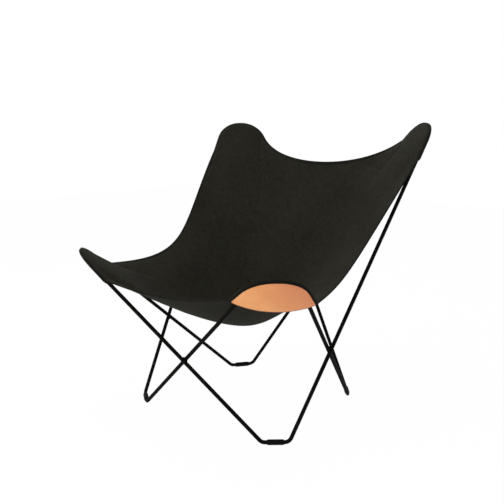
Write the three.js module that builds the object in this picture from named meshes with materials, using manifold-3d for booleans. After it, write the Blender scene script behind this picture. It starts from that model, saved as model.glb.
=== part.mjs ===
// Butterfly sling chair: two bent rod loops, welded where they cross, carry a canvas sling
// by four leather pockets. Millimetres, +Z up, the chair faces -Y, the floor is z = 0.

import * as THREE from "three";
import { mergeVertices } from "three/addons/utils/BufferGeometryUtils.js";
import Module from "manifold-3d";

// Rod frame. Corners are sharp corners of the right half before bending.
const ROD_DIAMETER = 12;
const FRONT_CORNER = { x: 451, y: -459, z: 623 };
const BACK_CORNER = { x: 464, y: 498, z: 1086 };
const FRONT_FOOT = { x: 277, y: -240 };
const BACK_FOOT_Y = 235;
const FOOT_FLAT = 81;
const FRONT_FOOT_ANGLE = 39.1;
const BACK_FOOT_ANGLE = 52.4;
const FRONT_TOP_RADIUS = 84;
const BACK_TOP_RADIUS = 75.5;
const FOOT_BEND_RADIUS = 22;

// Floor glides and weld beads
const GLIDE_WALL = 2;
const GLIDE_SOLE = 1.2;
const GLIDE_END_SPACE = 1.5;
const WELD_REACH = 9;
const WELD_DEPTH = 6;

// Sling: how far the pockets' seams stand off the rod at each mouth, how far the pockets reach
// down the legs, and where the free edges pass at mid-length
const CANVAS_THICKNESS = 2.4;
const SEAM_ALLOWANCE = 7;
const FRONT_MOUTH_FLARE = 14;
const FRONT_SIDE_FLARE = 12;
const BACK_SIDE_FLARE = 3;
const BACK_RIGHT_REAR_FLARE = 34;
const BACK_LEFT_REAR_FLARE = 11;
const FLARE_GROWTH = 1.2;
const FRONT_POCKET_DEPTH = 103;
const BACK_POCKET_SIDE_DEPTH = 120;
const BACK_POCKET_REAR_DEPTH = 65;
const SLING_TURN = 9;
const FRONT_EDGE_MIDDLE = { y: -408, z: 432 };
const BACK_EDGE_MIDDLE = { y: 416, z: 782 };
const SIDE_EDGE_MIDDLE = { x: 370, y: 40, z: 522 };
const SEAT_HEIGHT = 272;

// How far each end of a free edge runs towards its bend: 2/3 makes a parabola, 1 a tight bow
const FRONT_EDGE_BOW = 0.74;
const BACK_EDGE_BOW = 0.44;
const SIDE_EDGE_FRONT_BOW = 1.44;
const SIDE_EDGE_BACK_BOW = 0.77;

// Leather pockets and binding tape
const LEATHER_THICKNESS = 2.4;
const LEATHER_DROP = 30;
const LEATHER_CROWN = 6;
const TAPE_THICKNESS = 1;
const TAPE_REACH = 8.5;
const POCKET_TAPE_REACH = 6;
const TAPE_END_SPACE = 3;

// Clearances between pieces that touch
const ROD_GAP = 0.3;
const SHEET_GAP = 0.4;

// Mesh steps
const ROD_SIDES = 12;
const WELD_DETAIL = 2;
const TOP_STEPS = 8;
const FOOT_STEPS = 5;
const EDGE_STEPS = 10;
const SLING_RINGS = 7;
const LEATHER_EDGE_STEPS = 6;
const LEATHER_INNER_RINGS = [0.35, 0.7];

// Pull of the canvas net: close rings beside the edge, and hoops that stiffen towards the seat
const EDGE_RING_PULL = 6.5;
const HOOP_PULL = 70;

// Angles round the rod, from its outer side, of the two folds where the sheet turns over it
const WRAP_ANGLES = [50, 105];

const rodRadius = ROD_DIAMETER / 2;
const footHeight = rodRadius + ROD_GAP + GLIDE_SOLE;
const LEFT = -1;
const RIGHT = 1;

const wasm = await Module();
wasm.setup();

const vec = (x, y, z) => new THREE.Vector3(x, y, z);
const mix = (a, b, t) => a.clone().lerp(b, t);
const minus = (a, b) => a.clone().sub(b);
const radians = THREE.MathUtils.degToRad;

// The value between two where a test stops being true.
function bisect(from, to, test) {
  const halvings = 50;
  let [yes, no] = [from, to];
  for (let k = 0; k < halvings; k++) {
    const middle = (yes + no) / 2;
    if (test(middle)) yes = middle;
    else no = middle;
  }
  return yes;
}

// Adds lengths along directions to a point.
function shifted(point, ...moves) {
  const moved = point.clone();
  moves.forEach(([direction, length]) => moved.addScaledVector(direction, length));
  return moved;
}

// Solids from points and triangles

function geometryOf(points, triangles) {
  const geometry = new THREE.BufferGeometry();
  const positions = points.flatMap((p) => [p.x, p.y, p.z]);
  geometry.setAttribute("position", new THREE.Float32BufferAttribute(positions, 3));
  geometry.setIndex(triangles.flat());
  return geometry;
}

// Turns the triangles round if they enclose a negative volume.
function facingOut(points, triangles) {
  const volume = triangles.reduce((sum, [a, b, c]) => {
    const normal = points[b].clone().cross(points[c]);
    return sum + points[a].dot(normal);
  }, 0);
  return volume < 0 ? triangles.map(([a, b, c]) => [a, c, b]) : triangles;
}

// Joins like sections of points into one solid: a closed ring, or a strip capped by `caps`.
// Each four-sided face is split from its first corner, or from its second if it is `turned`.
function loft(sections, caps, turned = []) {
  const sides = sections[0].length;
  const points = sections.flat();
  const spans = caps ? sections.length - 1 : sections.length;
  const triangles = [];
  for (let s = 0; s < spans; s++) {
    const here = s * sides;
    const next = ((s + 1) % sections.length) * sides;
    for (let k = 0; k < sides; k++) {
      const j = (k + 1) % sides;
      const corners = [here + k, here + j, next + j, next + k];
      if (turned.includes(k)) corners.push(corners.shift());
      const [a, b, c, d] = corners;
      triangles.push([a, b, c], [a, c, d]);
    }
  }
  const last = (sections.length - 1) * sides;
  for (const [a, b, c] of caps ?? []) {
    triangles.push([a, c, b], [last + a, last + b, last + c]);
  }
  return geometryOf(points, facingOut(points, triangles));
}

// Normals of a sheet given as rings of points that run inwards to a centre point.
function sheetNormals(rings, centre) {
  return rings.map((ring, r) =>
    ring.map((point, i) => {
      const count = ring.length;
      const along = minus(ring[(i + 1) % count], ring[(i + count - 1) % count]);
      const inner = r + 1 < rings.length ? rings[r + 1][i] : centre;
      const outer = r > 0 ? rings[r - 1][i] : point;
      return along.cross(minus(inner, outer)).normalize();
    }),
  );
}

// Triangles between two rows of point numbers, and between a row and one point.
function strip(outer, inner) {
  return outer.slice(1).flatMap((next, k) => [
    [outer[k], next, inner[k + 1]],
    [outer[k], inner[k + 1], inner[k]],
  ]);
}

function fan(row, hub) {
  return row.slice(1).map((next, k) => [row[k], next, hub]);
}

// Triangles of rings of point numbers that close round a hub.
function diskTriangles(rings, hub) {
  const closed = rings.map((ring) => [...ring, ring[0]]);
  const bands = closed.slice(1).flatMap((inner, r) => strip(closed[r], inner));
  return [...bands, ...fan(closed.at(-1), hub)];
}

// A closed sheet about a surface of triangles, whose thickness lies along the given normals.
// The rim is the loop of points round its border, in the order in which the triangles turn.
function sheetSolid(points, normals, triangles, rim, thickness) {
  const face = (side) => points.map((p, k) => shifted(p, [normals[k], (side * thickness) / 2]));
  const low = points.length;
  const under = triangles.map(([a, b, c]) => [a + low, c + low, b + low]);
  const border = rim.flatMap((a, k) => {
    const b = rim[(k + 1) % rim.length];
    return [
      [a, a + low, b + low],
      [a, b + low, b],
    ];
  });
  const corners = [...face(1), ...face(-1)];
  return geometryOf(corners, facingOut(corners, [...triangles, ...under, ...border]));
}

function solidOf(geometry) {
  const bare = geometry.clone();
  bare.deleteAttribute("normal");
  bare.deleteAttribute("uv");
  const merged = mergeVertices(bare);
  const vertProperties = merged.attributes.position.array;
  const triVerts = new Uint32Array(merged.index.array);
  return new wasm.Manifold(new wasm.Mesh({ numProp: 3, vertProperties, triVerts }));
}

function geometryFrom(solid) {
  const { vertProperties, triVerts } = solid.getMesh();
  const geometry = new THREE.BufferGeometry();
  geometry.setAttribute("position", new THREE.Float32BufferAttribute(vertProperties, 3));
  geometry.setIndex(new THREE.BufferAttribute(triVerts, 1));
  return geometry;
}

// Rod frame

// Sharp corners of one loop. It carries the front corner on its own side and the back corner
// on the other side, and is set off along Y so that the loops pass each other.
function loopCorners(side, offsets) {
  const frontY = (side * offsets.front) / 2;
  const backY = (side * offsets.back) / 2;
  const foot = (x, y, angle) => {
    const direction = vec(-side * Math.cos(radians(angle)), Math.sin(radians(angle)), 0);
    const centre = vec(x, y, footHeight);
    return {
      centre,
      direction,
      toFront: shifted(centre, [direction, -FOOT_FLAT / 2]),
      toBack: shifted(centre, [direction, FOOT_FLAT / 2]),
    };
  };
  const backFootX = side === LEFT ? offsets.footLeft : offsets.footRight;
  return {
    frontTop: vec(side * FRONT_CORNER.x, FRONT_CORNER.y + frontY, FRONT_CORNER.z),
    backTop: vec(-side * BACK_CORNER.x, BACK_CORNER.y + backY, BACK_CORNER.z),
    frontFoot: foot(-side * FRONT_FOOT.x, FRONT_FOOT.y + frontY, FRONT_FOOT_ANGLE),
    backFoot: foot(side * backFootX, BACK_FOOT_Y + backY, BACK_FOOT_ANGLE),
  };
}

// The four places where a rod of one loop crosses a rod of the other, each as two rods.
function crossings(left, right) {
  return {
    front: [
      [left.frontTop, left.frontFoot.toFront],
      [right.frontTop, right.frontFoot.toFront],
    ],
    back: [
      [left.backTop, left.backFoot.toBack],
      [right.backTop, right.backFoot.toBack],
    ],
    right: [
      [right.frontTop, right.backFoot.toFront],
      [left.frontFoot.toBack, left.backTop],
    ],
    left: [
      [left.frontTop, left.backFoot.toFront],
      [right.frontFoot.toBack, right.backTop],
    ],
  };
}

// Nearest points of two rods' centre lines, and the second rod's distance along `facing`.
function nearest([a, b], [c, d], facing) {
  const first = minus(b, a).normalize();
  const second = minus(d, c).normalize();
  const normal = first.clone().cross(second).normalize();
  if (normal.dot(facing) < 0) normal.negate();
  const between = minus(c, a);
  const slant = first.dot(second);
  const square = 1 - slant * slant;
  const along = (between.dot(first) - between.dot(second) * slant) / square;
  const back = (between.dot(first) * slant - between.dot(second)) / square;
  return {
    normal,
    distance: between.dot(normal),
    points: [shifted(a, [first, along]), shifted(c, [second, back])],
    directions: [first, second],
  };
}

const FACING = {
  front: vec(0, 1, 0),
  back: vec(0, 1, 0),
  right: vec(1, 0, 0),
  left: vec(-1, 0, 0),
};

// Moves the loops apart, and each back foot in or out, until all four crossings just touch.
function touchingOffsets() {
  const touch = ROD_DIAMETER + ROD_GAP;
  const offsets = { front: touch, back: touch, footRight: FRONT_FOOT.x, footLeft: FRONT_FOOT.x };
  const tied = { front: "front", back: "back", footRight: "right", footLeft: "left" };
  const rounds = 12;
  const nudge = 1;
  const distanceAt = (crossing, trial) => {
    const pair = crossings(loopCorners(LEFT, trial), loopCorners(RIGHT, trial))[crossing];
    return nearest(...pair, FACING[crossing]).distance;
  };
  for (let round = 0; round < rounds; round++) {
    for (const [size, crossing] of Object.entries(tied)) {
      const now = distanceAt(crossing, offsets);
      const nudged = distanceAt(crossing, { ...offsets, [size]: offsets[size] + nudge });
      offsets[size] += ((touch - now) * nudge) / (nudged - now);
    }
  }
  return offsets;
}

// A bend of one radius at a sharp corner, from the leg towards `before` to the leg towards `after`.
function bendAt(corner, before, after, radius) {
  const legs = [minus(before, corner).normalize(), minus(after, corner).normalize()];
  const half = legs[0].angleTo(legs[1]) / 2;
  const inward = legs[0].clone().add(legs[1]).normalize();
  const centre = shifted(corner, [inward, radius / Math.sin(half)]);
  const tangents = legs.map((leg) => shifted(corner, [leg, radius / Math.tan(half)]));
  const outward = tangents.map((t) => minus(t, centre).normalize());
  const axis = outward[0].clone().cross(outward[1]).normalize();
  const sweep = Math.PI - 2 * half;
  const stationAt = (share) => {
    const away = outward[0].clone().applyAxisAngle(axis, share * sweep);
    return { point: shifted(centre, [away, radius]), outward: away };
  };
  return { legs, half, inward, centre, radius, tangents, outward, axis, sweep, stationAt };
}

function loopBends(loop) {
  const { frontTop, backTop, frontFoot, backFoot } = loop;
  const corners = [
    ["frontTop", frontTop, FRONT_TOP_RADIUS, TOP_STEPS],
    ["frontFootA", frontFoot.toFront, FOOT_BEND_RADIUS, FOOT_STEPS],
    ["frontFootB", frontFoot.toBack, FOOT_BEND_RADIUS, FOOT_STEPS],
    ["backTop", backTop, BACK_TOP_RADIUS, TOP_STEPS],
    ["backFootB", backFoot.toBack, FOOT_BEND_RADIUS, FOOT_STEPS],
    ["backFootA", backFoot.toFront, FOOT_BEND_RADIUS, FOOT_STEPS],
  ];
  return corners.map(([name, corner, radius, steps], i) => {
    const before = corners.at(i - 1)[1];
    const after = corners[(i + 1) % corners.length][1];
    return { name, steps, ...bendAt(corner, before, after, radius) };
  });
}

// One closed rod: round sections at the bends only, carried along without twist.
function rodLoop(bends) {
  const stations = bends.flatMap((bend) =>
    Array.from({ length: bend.steps + 1 }, (_, k) => {
      const { point, outward } = bend.stationAt(k / bend.steps);
      return { point, heading: bend.axis.clone().cross(outward) };
    }),
  );
  const carried = (side, from, to) => {
    const turn = new THREE.Quaternion().setFromUnitVectors(from.heading, to.heading);
    return side.clone().applyQuaternion(turn);
  };
  const start = bends[0].axis.clone();
  const sides = [start];
  for (let k = 1; k < stations.length; k++) {
    sides.push(carried(sides[k - 1], stations[k - 1], stations[k]));
  }
  const home = carried(sides.at(-1), stations.at(-1), stations[0]);
  const twist = Math.atan2(home.clone().cross(start).dot(stations[0].heading), home.dot(start));
  const sections = stations.map(({ point, heading }, k) => {
    const share = k / stations.length;
    return Array.from({ length: ROD_SIDES }, (_, j) => {
      const angle = (j / ROD_SIDES) * 2 * Math.PI + twist * share;
      const spoke = sides[k].clone().applyAxisAngle(heading, angle);
      return shifted(point, [spoke, rodRadius]);
    });
  });
  return loft(sections);
}

// A bead round the touching point of two rods, cut clear of both.
function weldBead({ points, normal, directions }) {
  const middle = mix(points[0], points[1], 0.5);
  const bead = new THREE.IcosahedronGeometry(1, WELD_DETAIL);
  const [first] = directions;
  const across = normal.clone().cross(first);
  const frame = new THREE.Matrix4().makeBasis(
    first.clone().multiplyScalar(WELD_REACH),
    across.multiplyScalar(WELD_REACH),
    normal.clone().multiplyScalar(WELD_DEPTH),
  );
  bead.applyMatrix4(frame.setPosition(middle));
  const cutter = (k) => {
    const bore = new THREE.CylinderGeometry(
      rodRadius + ROD_GAP,
      rodRadius + ROD_GAP,
      4 * WELD_REACH,
      2 * ROD_SIDES,
    );
    const up = vec(0, 1, 0);
    bore.applyQuaternion(new THREE.Quaternion().setFromUnitVectors(up, directions[k]));
    return solidOf(bore.translate(...points[k].toArray()));
  };
  return geometryFrom(solidOf(bead).subtract(cutter(0)).subtract(cutter(1)));
}

// A sleeve on the straight of one foot, round above and flat where it stands on the floor.
function floorGlide(foot, bendTangent) {
  const outer = rodRadius + ROD_GAP + GLIDE_WALL;
  const chordAngle = Math.asin(footHeight / outer);
  const outline = new THREE.Shape();
  outline.absarc(0, 0, outer, -chordAngle, Math.PI + chordAngle, false);
  outline.closePath();
  const bore = new THREE.Path();
  bore.absarc(0, 0, rodRadius + ROD_GAP, 0, 2 * Math.PI, true);
  outline.holes.push(bore);
  const length = FOOT_FLAT - 2 * (bendTangent + GLIDE_END_SPACE);
  const sleeve = new THREE.ExtrudeGeometry(outline, {
    depth: length,
    bevelEnabled: false,
    curveSegments: ROD_SIDES,
  });
  sleeve.translate(0, 0, -length / 2);
  const up = vec(0, 0, 1);
  const across = up.clone().cross(foot.direction);
  const place = new THREE.Matrix4().makeBasis(across, up, foot.direction);
  return { geometry: sleeve, place: place.setPosition(foot.centre) };
}

// Pockets

// Mid-line of a sheet over the rod, as points (outward, away) from the rod's centre: the seam
// beyond the rod, further out where the pocket flares, then two folds whose chords clear it.
function wrapRows(thickness, flare) {
  const clear = rodRadius + ROD_GAP + thickness / 2;
  const [low, high] = WRAP_ANGLES.map(radians);
  const reach = clear / Math.cos((high - low) / 2);
  return [
    [rodRadius + SEAM_ALLOWANCE + flare, (thickness + SHEET_GAP) / 2],
    [reach * Math.cos(low), reach * Math.sin(low)],
    [reach * Math.cos(high), reach * Math.sin(high)],
  ];
}

const canvasRows = ({ flare }) => wrapRows(CANVAS_THICKNESS, flare);
const leatherRows = ({ flare }) => wrapRows(LEATHER_THICKNESS, flare);
const WRAP_COUNT = WRAP_ANGLES.length;

// A pocket over one top bend. Stations run from the mouth on its first leg to the second, and
// the seam's flare grows with a power of the way from the middle of the bend to each mouth.
function pocketAt(bend, depths, flares) {
  const inside = vec(0, 0, bend.centre.z + bend.radius);
  const normal = bend.axis.clone();
  if (minus(inside, bend.centre).dot(normal) < 0) normal.negate();
  const tipToTangent = bend.radius * (1 - Math.sin(bend.half));
  const runs = depths.map((depth) => (depth - tipToTangent) / Math.cos(bend.half));
  const mouth = (k) => ({
    point: shifted(bend.tangents[k], [bend.legs[k], runs[k]]),
    outward: bend.outward[k],
    flare: flares[k],
  });
  const halfArc = (bend.radius * bend.sweep) / 2;
  const arc = Array.from({ length: TOP_STEPS + 1 }, (_, s) => {
    const k = 2 * s < TOP_STEPS ? 0 : 1;
    const way = Math.abs((2 * s) / TOP_STEPS - 1) * halfArc;
    const flare = flares[k] * (way / (halfArc + runs[k])) ** FLARE_GROWTH;
    return { ...bend.stationAt(s / TOP_STEPS), flare };
  });
  const stations = [mouth(0), ...arc, mouth(1)];
  const at = (station, [out, away]) => shifted(station.point, [station.outward, out], [normal, away]);
  return { bend, normal, stations, at };
}

// Reverses a bend, so that its first leg becomes its second.
function reversed(bend) {
  const swap = ([a, b]) => [b, a];
  return {
    ...bend,
    legs: swap(bend.legs),
    tangents: swap(bend.tangents),
    outward: swap(bend.outward),
    axis: bend.axis.clone().negate(),
    stationAt: (share) => bend.stationAt(1 - share),
  };
}

// How far a point of the pocket's plane lies outside the rod's centre line.
function outsideRod(bend, point) {
  const beyond = bend.tangents.map((t, k) => minus(point, t).dot(bend.legs[k]));
  const beside = bend.tangents.map((t, k) => minus(point, t).dot(bend.outward[k]));
  const legs = [0, 1].filter((k) => beyond[k] >= 0);
  if (legs.length === 0) return point.distanceTo(bend.centre) - bend.radius;
  return Math.max(...legs.map((k) => beside[k]));
}

// Half-moon of leather under the rod: its rim follows the seam, its lower edge bows down, and
// it bends along the lines where it leaves the seam and where it has passed under the rod.
function leatherPanel({ bend, normal, stations, at }) {
  const flat = (station, r) => at(station, [leatherRows(station)[r][0], 0]);
  const mouths = [stations.at(-1), stations[0]];
  const corners = mouths.map((station) => flat(station, 0));
  const inner = leatherRows(mouths[0]).at(-1);
  const bow = shifted(mix(...corners, 0.5), [bend.inward, 2 * LEATHER_DROP]);
  const edge = new THREE.QuadraticBezierCurve3(corners[0], bow, corners[1]);
  const shareAt = (out, end) => {
    const isOutside = (share) => outsideRod(bend, edge.getPoint(share)) > out;
    return bisect(end, 0.5, isOutside);
  };
  const crowned = (point) => {
    const depth = (inner[0] - outsideRod(bend, point)) / bend.radius;
    const share = THREE.MathUtils.clamp(depth, 0, 1);
    return inner[1] + LEATHER_CROWN * Math.sin((share * Math.PI) / 2);
  };

  const points = [];
  const aways = [];
  const put = (row, away = crowned) =>
    row.map((point) => {
      aways.push(away(point));
      return points.push(point) - 1;
    });
  const rows = leatherRows(mouths[0]).map(([, away], r) => {
    const ends = mouths.map((station, end) => edge.getPoint(shareAt(leatherRows(station)[r][0], end)));
    const round = stations.slice(1, -1).map((station) => flat(station, r));
    return put([ends[1], ...round, ends[0]], () => away);
  });
  const [rimRow, foldRow, innerRow] = rows;
  const [from, to] = [0, 1].map((end) => shareAt(inner[0], end));
  const lowerRow = put(
    Array.from({ length: LEATHER_EDGE_STEPS - 1 }, (_, k) =>
      edge.getPoint(THREE.MathUtils.lerp(from, to, (k + 1) / LEATHER_EDGE_STEPS)),
    ),
  );
  const hub = mix(mix(...corners, 0.5), bend.centre, 0.5);
  const outline = [...innerRow, ...lowerRow];
  const towardsHub = (t) => put(outline.map((k) => mix(points[k], hub, t)));
  const rings = [outline, ...LEATHER_INNER_RINGS.map(towardsHub)];
  const triangles = [
    ...strip(rimRow, foldRow),
    ...strip(foldRow, innerRow),
    ...diskTriangles(rings, put([hub])[0]),
  ];
  const border = [...rimRow, foldRow.at(-1), innerRow.at(-1), ...lowerRow, innerRow[0], foldRow[0]];
  const normals = points.map(() => normal);
  const bent = points.map((point, k) => shifted(point, [normal, -aways[k]]));
  return sheetSolid(bent, normals, triangles, border, LEATHER_THICKNESS);
}

// Triangles that close the end of a tape's section, given as (outward, away) pairs, and that
// turn the same way as the section does.
function sectionCaps(section) {
  const outline = section.map(([x, y]) => new THREE.Vector2(x, y));
  const turns = (points) => Math.sign(THREE.ShapeUtils.area(points));
  const way = turns(outline);
  return THREE.ShapeUtils.triangulateShape(outline, []).map(([a, b, c]) =>
    turns([outline[a], outline[b], outline[c]]) === way ? [a, b, c] : [a, c, b],
  );
}

// Section of the tape folded over the seam of canvas and leather, at one station of a pocket.
function pocketTapeSection(station) {
  const [rim, fold] = canvasRows(station);
  const slope = new THREE.Vector2(fold[0] - rim[0], fold[1] - rim[1]).normalize();
  const square = [-slope.y, slope.x].map((v) => Math.sign(slope.x) * v);
  const lift = CANVAS_THICKNESS / 2 + SHEET_GAP;
  const onTape = (run, height) => [
    rim[0] + slope.x * run + square[0] * height,
    rim[1] + slope.y * run + square[1] * height,
  ];
  const nose = onTape(-SHEET_GAP, lift);
  const upper = [
    nose,
    onTape(POCKET_TAPE_REACH, lift),
    onTape(POCKET_TAPE_REACH, lift + TAPE_THICKNESS),
    [nose[0] + TAPE_THICKNESS, nose[1] + TAPE_THICKNESS / 2],
  ];
  const lower = upper.map(([out, away]) => [out, -away]).reverse();
  return [...upper, ...lower];
}

// Tape round the whole seam of a pocket.
function pocketBinding({ stations, at }) {
  const outlines = stations.map(pocketTapeSection);
  const sections = stations.map((station, s) => outlines[s].map((pair) => at(station, pair)));
  const trimmed = (end, next) => {
    const share = TAPE_END_SPACE / end[0].distanceTo(next[0]);
    return end.map((p, k) => mix(p, next[k], share));
  };
  sections.splice(0, 1, trimmed(sections[0], sections[1]));
  sections.splice(-1, 1, trimmed(sections.at(-1), sections.at(-2)));
  return loft(sections, sectionCaps(outlines[0]));
}

// Sling

// A free edge between two pocket mouths, bowed by its own share at each end so that it passes
// the given middle point. There the ends weigh 1/8 and the handles 3/8.
function freeEdge(from, to, middle, [fromBow, toBow]) {
  const weights = [3 * fromBow - 4, 3 * toBow - 4];
  const control = shifted(vec(0, 0, 0), [middle, 8], [from, weights[0]], [to, weights[1]]);
  control.divideScalar(3 * (fromBow + toBow));
  const handles = [mix(from, control, fromBow), mix(to, control, toBow)];
  return new THREE.CubicBezierCurve3(from, ...handles, to);
}

// Solves a net of springs, given each free node's links, by conjugate gradients.
function settleNet(links, loads) {
  const dot = (a, b) => a.reduce((sum, v, k) => sum + v * b[k], 0);
  const pullOf = (values) =>
    links.map((list, k) =>
      list.reduce((sum, [other, w]) => sum + w * (values[k] - (other < 0 ? 0 : values[other])), 0),
    );
  const values = loads.map(() => 0);
  let rest = [...loads];
  let step = [...loads];
  let square = dot(rest, rest);
  const small = 1e-16 * square;
  const mostRounds = 4 * loads.length;
  for (let round = 0; round < mostRounds && square > small; round++) {
    const pull = pullOf(step);
    const size = square / dot(step, pull);
    values.forEach((_, k) => (values[k] += size * step[k]));
    rest = rest.map((v, k) => v - size * pull[k]);
    const next = dot(rest, rest);
    step = rest.map((v, k) => v + (next / square) * step[k]);
    square = next;
  }
  return values;
}

// Rings of the hanging canvas. The outer ring is held all round, and the pocket rows follow the
// rod. The rest hangs as a net that is loaded evenly until its lowest point is at SEAT_HEIGHT.
function hangSling(columns) {
  const count = columns.length;
  const index = new Map();
  const key = (r, i) => r * count + ((i + count) % count);
  for (let r = 0; r < SLING_RINGS; r++) {
    for (let i = 0; i < count; i++) {
      if (r >= columns[i].length) index.set(key(r, i), index.size);
    }
  }
  const centre = index.size;
  const links = Array.from({ length: centre + 1 }, () => []);
  const held = links.map(() => vec(0, 0, 0));
  const link = (r, i, other, fixed, pull) => {
    const node = index.get(key(r, i));
    if (node === undefined) return;
    links[node].push([other ?? -1, pull]);
    if (fixed) held[node].addScaledVector(fixed, pull);
  };
  const tie = (r, i, s, j, pull) => {
    const column = (k) => columns[(k + count) % count];
    link(r, i, index.get(key(s, j)), column(j)[s], pull);
    link(s, j, index.get(key(r, i)), column(i)[r], pull);
  };
  for (let i = 0; i < count; i++) {
    for (let r = 0; r < SLING_RINGS; r++) {
      if (r > 0) tie(r, i, r, i + 1, HOOP_PULL * (r / SLING_RINGS) ** 2);
      if (r + 1 < SLING_RINGS) tie(r, i, r + 1, i, r < WRAP_COUNT ? EDGE_RING_PULL : 1);
    }
    const last = index.get(key(SLING_RINGS - 1, i));
    links[last].push([centre, 1]);
    links[centre].push([last, 1]);
  }
  const place = ["x", "y", "z"].map((axis) => settleNet(links, held.map((h) => h[axis])));
  const give = settleNet(links, held.map(() => 1));
  const lowest = (weight) => Math.min(...give.map((g, k) => place[2][k] - weight * g));
  let heavy = 1;
  while (lowest(heavy) > SEAT_HEIGHT) heavy *= 2;
  const load = bisect(0, heavy, (weight) => lowest(weight) > SEAT_HEIGHT);
  const node = (k) => vec(place[0][k], place[1][k], place[2][k] - load * give[k]);
  const hung = columns.map((column, i) => {
    const free = Array.from({ length: SLING_RINGS }, (_, r) => index.get(key(r, i)));
    return free.map((k, r) => column[r] ?? node(k));
  });
  easeHem(hung, columns);
  const rings = Array.from({ length: SLING_RINGS }, (_, r) => hung.map((points) => points[r]));
  return { rings, centre: node(centre), normals: sheetNormals(rings, node(centre)) };
}

function slingBody({ rings, centre, normals }) {
  const points = [...rings.flat(), centre];
  const hub = points.length - 1;
  const up = normals.at(-1).reduce((sum, n) => sum.add(n), vec(0, 0, 0)).normalize();
  const numbers = rings.map((ring, r) => ring.map((_, i) => r * ring.length + i));
  const triangles = diskTriangles(numbers, hub);
  return sheetSolid(points, [...normals.flat(), up], triangles, numbers[0], CANVAS_THICKNESS);
}

// Sets the hem of each free edge at tape widths from it. Every hem point leans towards its
// neighbours, so that the twist at a pocket's mouth is spread along the edge.
function easeHem(hung, columns) {
  const rounds = 3;
  const count = hung.length;
  const hemRows = WRAP_ANGLES.map((_, h) => h + 1);
  for (let round = 0; round < rounds; round++) {
    const leans = hung.map((points) => hemRows.map((r) => minus(points[r], points[0]).normalize()));
    hung.forEach((points, i) => {
      if (columns[i].length > 1) return;
      hemRows.forEach((r, h) => {
        const lean = leans[i][h].clone().multiplyScalar(2);
        lean.add(leans[(i + 1) % count][h]).add(leans[(i + count - 1) % count][h]);
        points[r] = shifted(points[0], [lean.normalize(), r * TAPE_REACH]);
      });
    });
  }
}

// Tape folded over a free edge of the canvas, from its first station to its last. Its faces are
// split the same way as those of the canvas, so that both twist alike.
function edgeBinding({ rings, normals }, first) {
  const count = rings[0].length;
  const inner = CANVAS_THICKNESS / 2 + SHEET_GAP;
  const outer = inner + TAPE_THICKNESS;
  const nose = SHEET_GAP / TAPE_REACH;
  const skin = TAPE_THICKNESS / TAPE_REACH;
  const upper = [
    [-nose, inner],
    [0, inner],
    [1, inner],
    [1, outer],
    [-nose - skin, outer],
  ];
  const section = [...upper, ...upper.map(([share, away]) => [share, -away]).reverse()];
  const splitAlike = section.flatMap(([share, away], k) => {
    const [nextShare, nextAway] = section[(k + 1) % section.length];
    const runsOut = nextShare < share || (nextShare === share && nextAway > away);
    return runsOut ? [k] : [];
  });
  const sections = Array.from({ length: EDGE_STEPS + 1 }, (_, k) => {
    const i = (first + k) % count;
    return section.map(([share, away]) => {
      const point = mix(rings[0][i], rings[1][i], share);
      return shifted(point, [mix(normals[0][i], normals[1][i], share), away]);
    });
  });
  return loft(sections, sectionCaps(section), splitAlike);
}

// Assembly

const FINISH = {
  rod: { color: 0x1b1a18, roughness: 0.45, metalness: 0.6 },
  weld: { color: 0x201f1d, roughness: 0.55, metalness: 0.6 },
  glide: { color: 0x161615, roughness: 0.6, metalness: 0 },
  canvas: { color: 0x28271f, roughness: 0.95, metalness: 0 },
  tape: { color: 0x1e1d18, roughness: 0.9, metalness: 0 },
  leather: { color: 0xe4a16f, roughness: 0.55, metalness: 0 },
};

const chair = new THREE.Group();

function add(name, geometry, finish) {
  const mesh = new THREE.Mesh(geometry, new THREE.MeshStandardMaterial(FINISH[finish]));
  mesh.name = name;
  chair.add(mesh);
  return mesh;
}

const offsets = touchingOffsets();
const loops = { left: loopCorners(LEFT, offsets), right: loopCorners(RIGHT, offsets) };
const bends = { left: loopBends(loops.left), right: loopBends(loops.right) };
const bendOf = (loop, name) => bends[loop].find((bend) => bend.name === name);

add("rod_loop_front_left", rodLoop(bends.left), "rod");
add("rod_loop_front_right", rodLoop(bends.right), "rod");

for (const [name, pair] of Object.entries(crossings(loops.left, loops.right))) {
  add(`weld_${name}`, weldBead(nearest(...pair, FACING[name])), "weld");
}

const FEET = [
  ["floor_glide_front_right", "left", "frontFoot"],
  ["floor_glide_front_left", "right", "frontFoot"],
  ["floor_glide_back_left", "left", "backFoot"],
  ["floor_glide_back_right", "right", "backFoot"],
];
for (const [name, loop, foot] of FEET) {
  const ends = ["A", "B"].map((end) => bendOf(loop, foot + end));
  const tangent = Math.max(...ends.map((bend) => bend.radius / Math.tan(bend.half)));
  const { geometry, place } = floorGlide(loops[loop][foot], tangent);
  add(name, geometry, "glide").applyMatrix4(place);
}

// Pockets anticlockwise from above, each with its first leg where the round enters it. The sling
// sits a little turned, so the front pockets reach further down one leg than the other.
const frontDepths = [FRONT_POCKET_DEPTH - SLING_TURN, FRONT_POCKET_DEPTH + SLING_TURN];
const backDepths = [BACK_POCKET_SIDE_DEPTH, BACK_POCKET_REAR_DEPTH];
const frontFlares = [FRONT_MOUTH_FLARE, FRONT_SIDE_FLARE];
const backRightFlares = [BACK_SIDE_FLARE, BACK_RIGHT_REAR_FLARE];
const backLeftFlares = [BACK_LEFT_REAR_FLARE, BACK_SIDE_FLARE];
const pockets = [
  ["front_right", pocketAt(reversed(bendOf("right", "frontTop")), frontDepths, frontFlares)],
  ["back_right", pocketAt(bendOf("left", "backTop"), backDepths, backRightFlares)],
  [
    "back_left",
    pocketAt(reversed(bendOf("right", "backTop")), backDepths.toReversed(), backLeftFlares),
  ],
  ["front_left", pocketAt(bendOf("left", "frontTop"), frontDepths, frontFlares.toReversed())],
];
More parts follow.
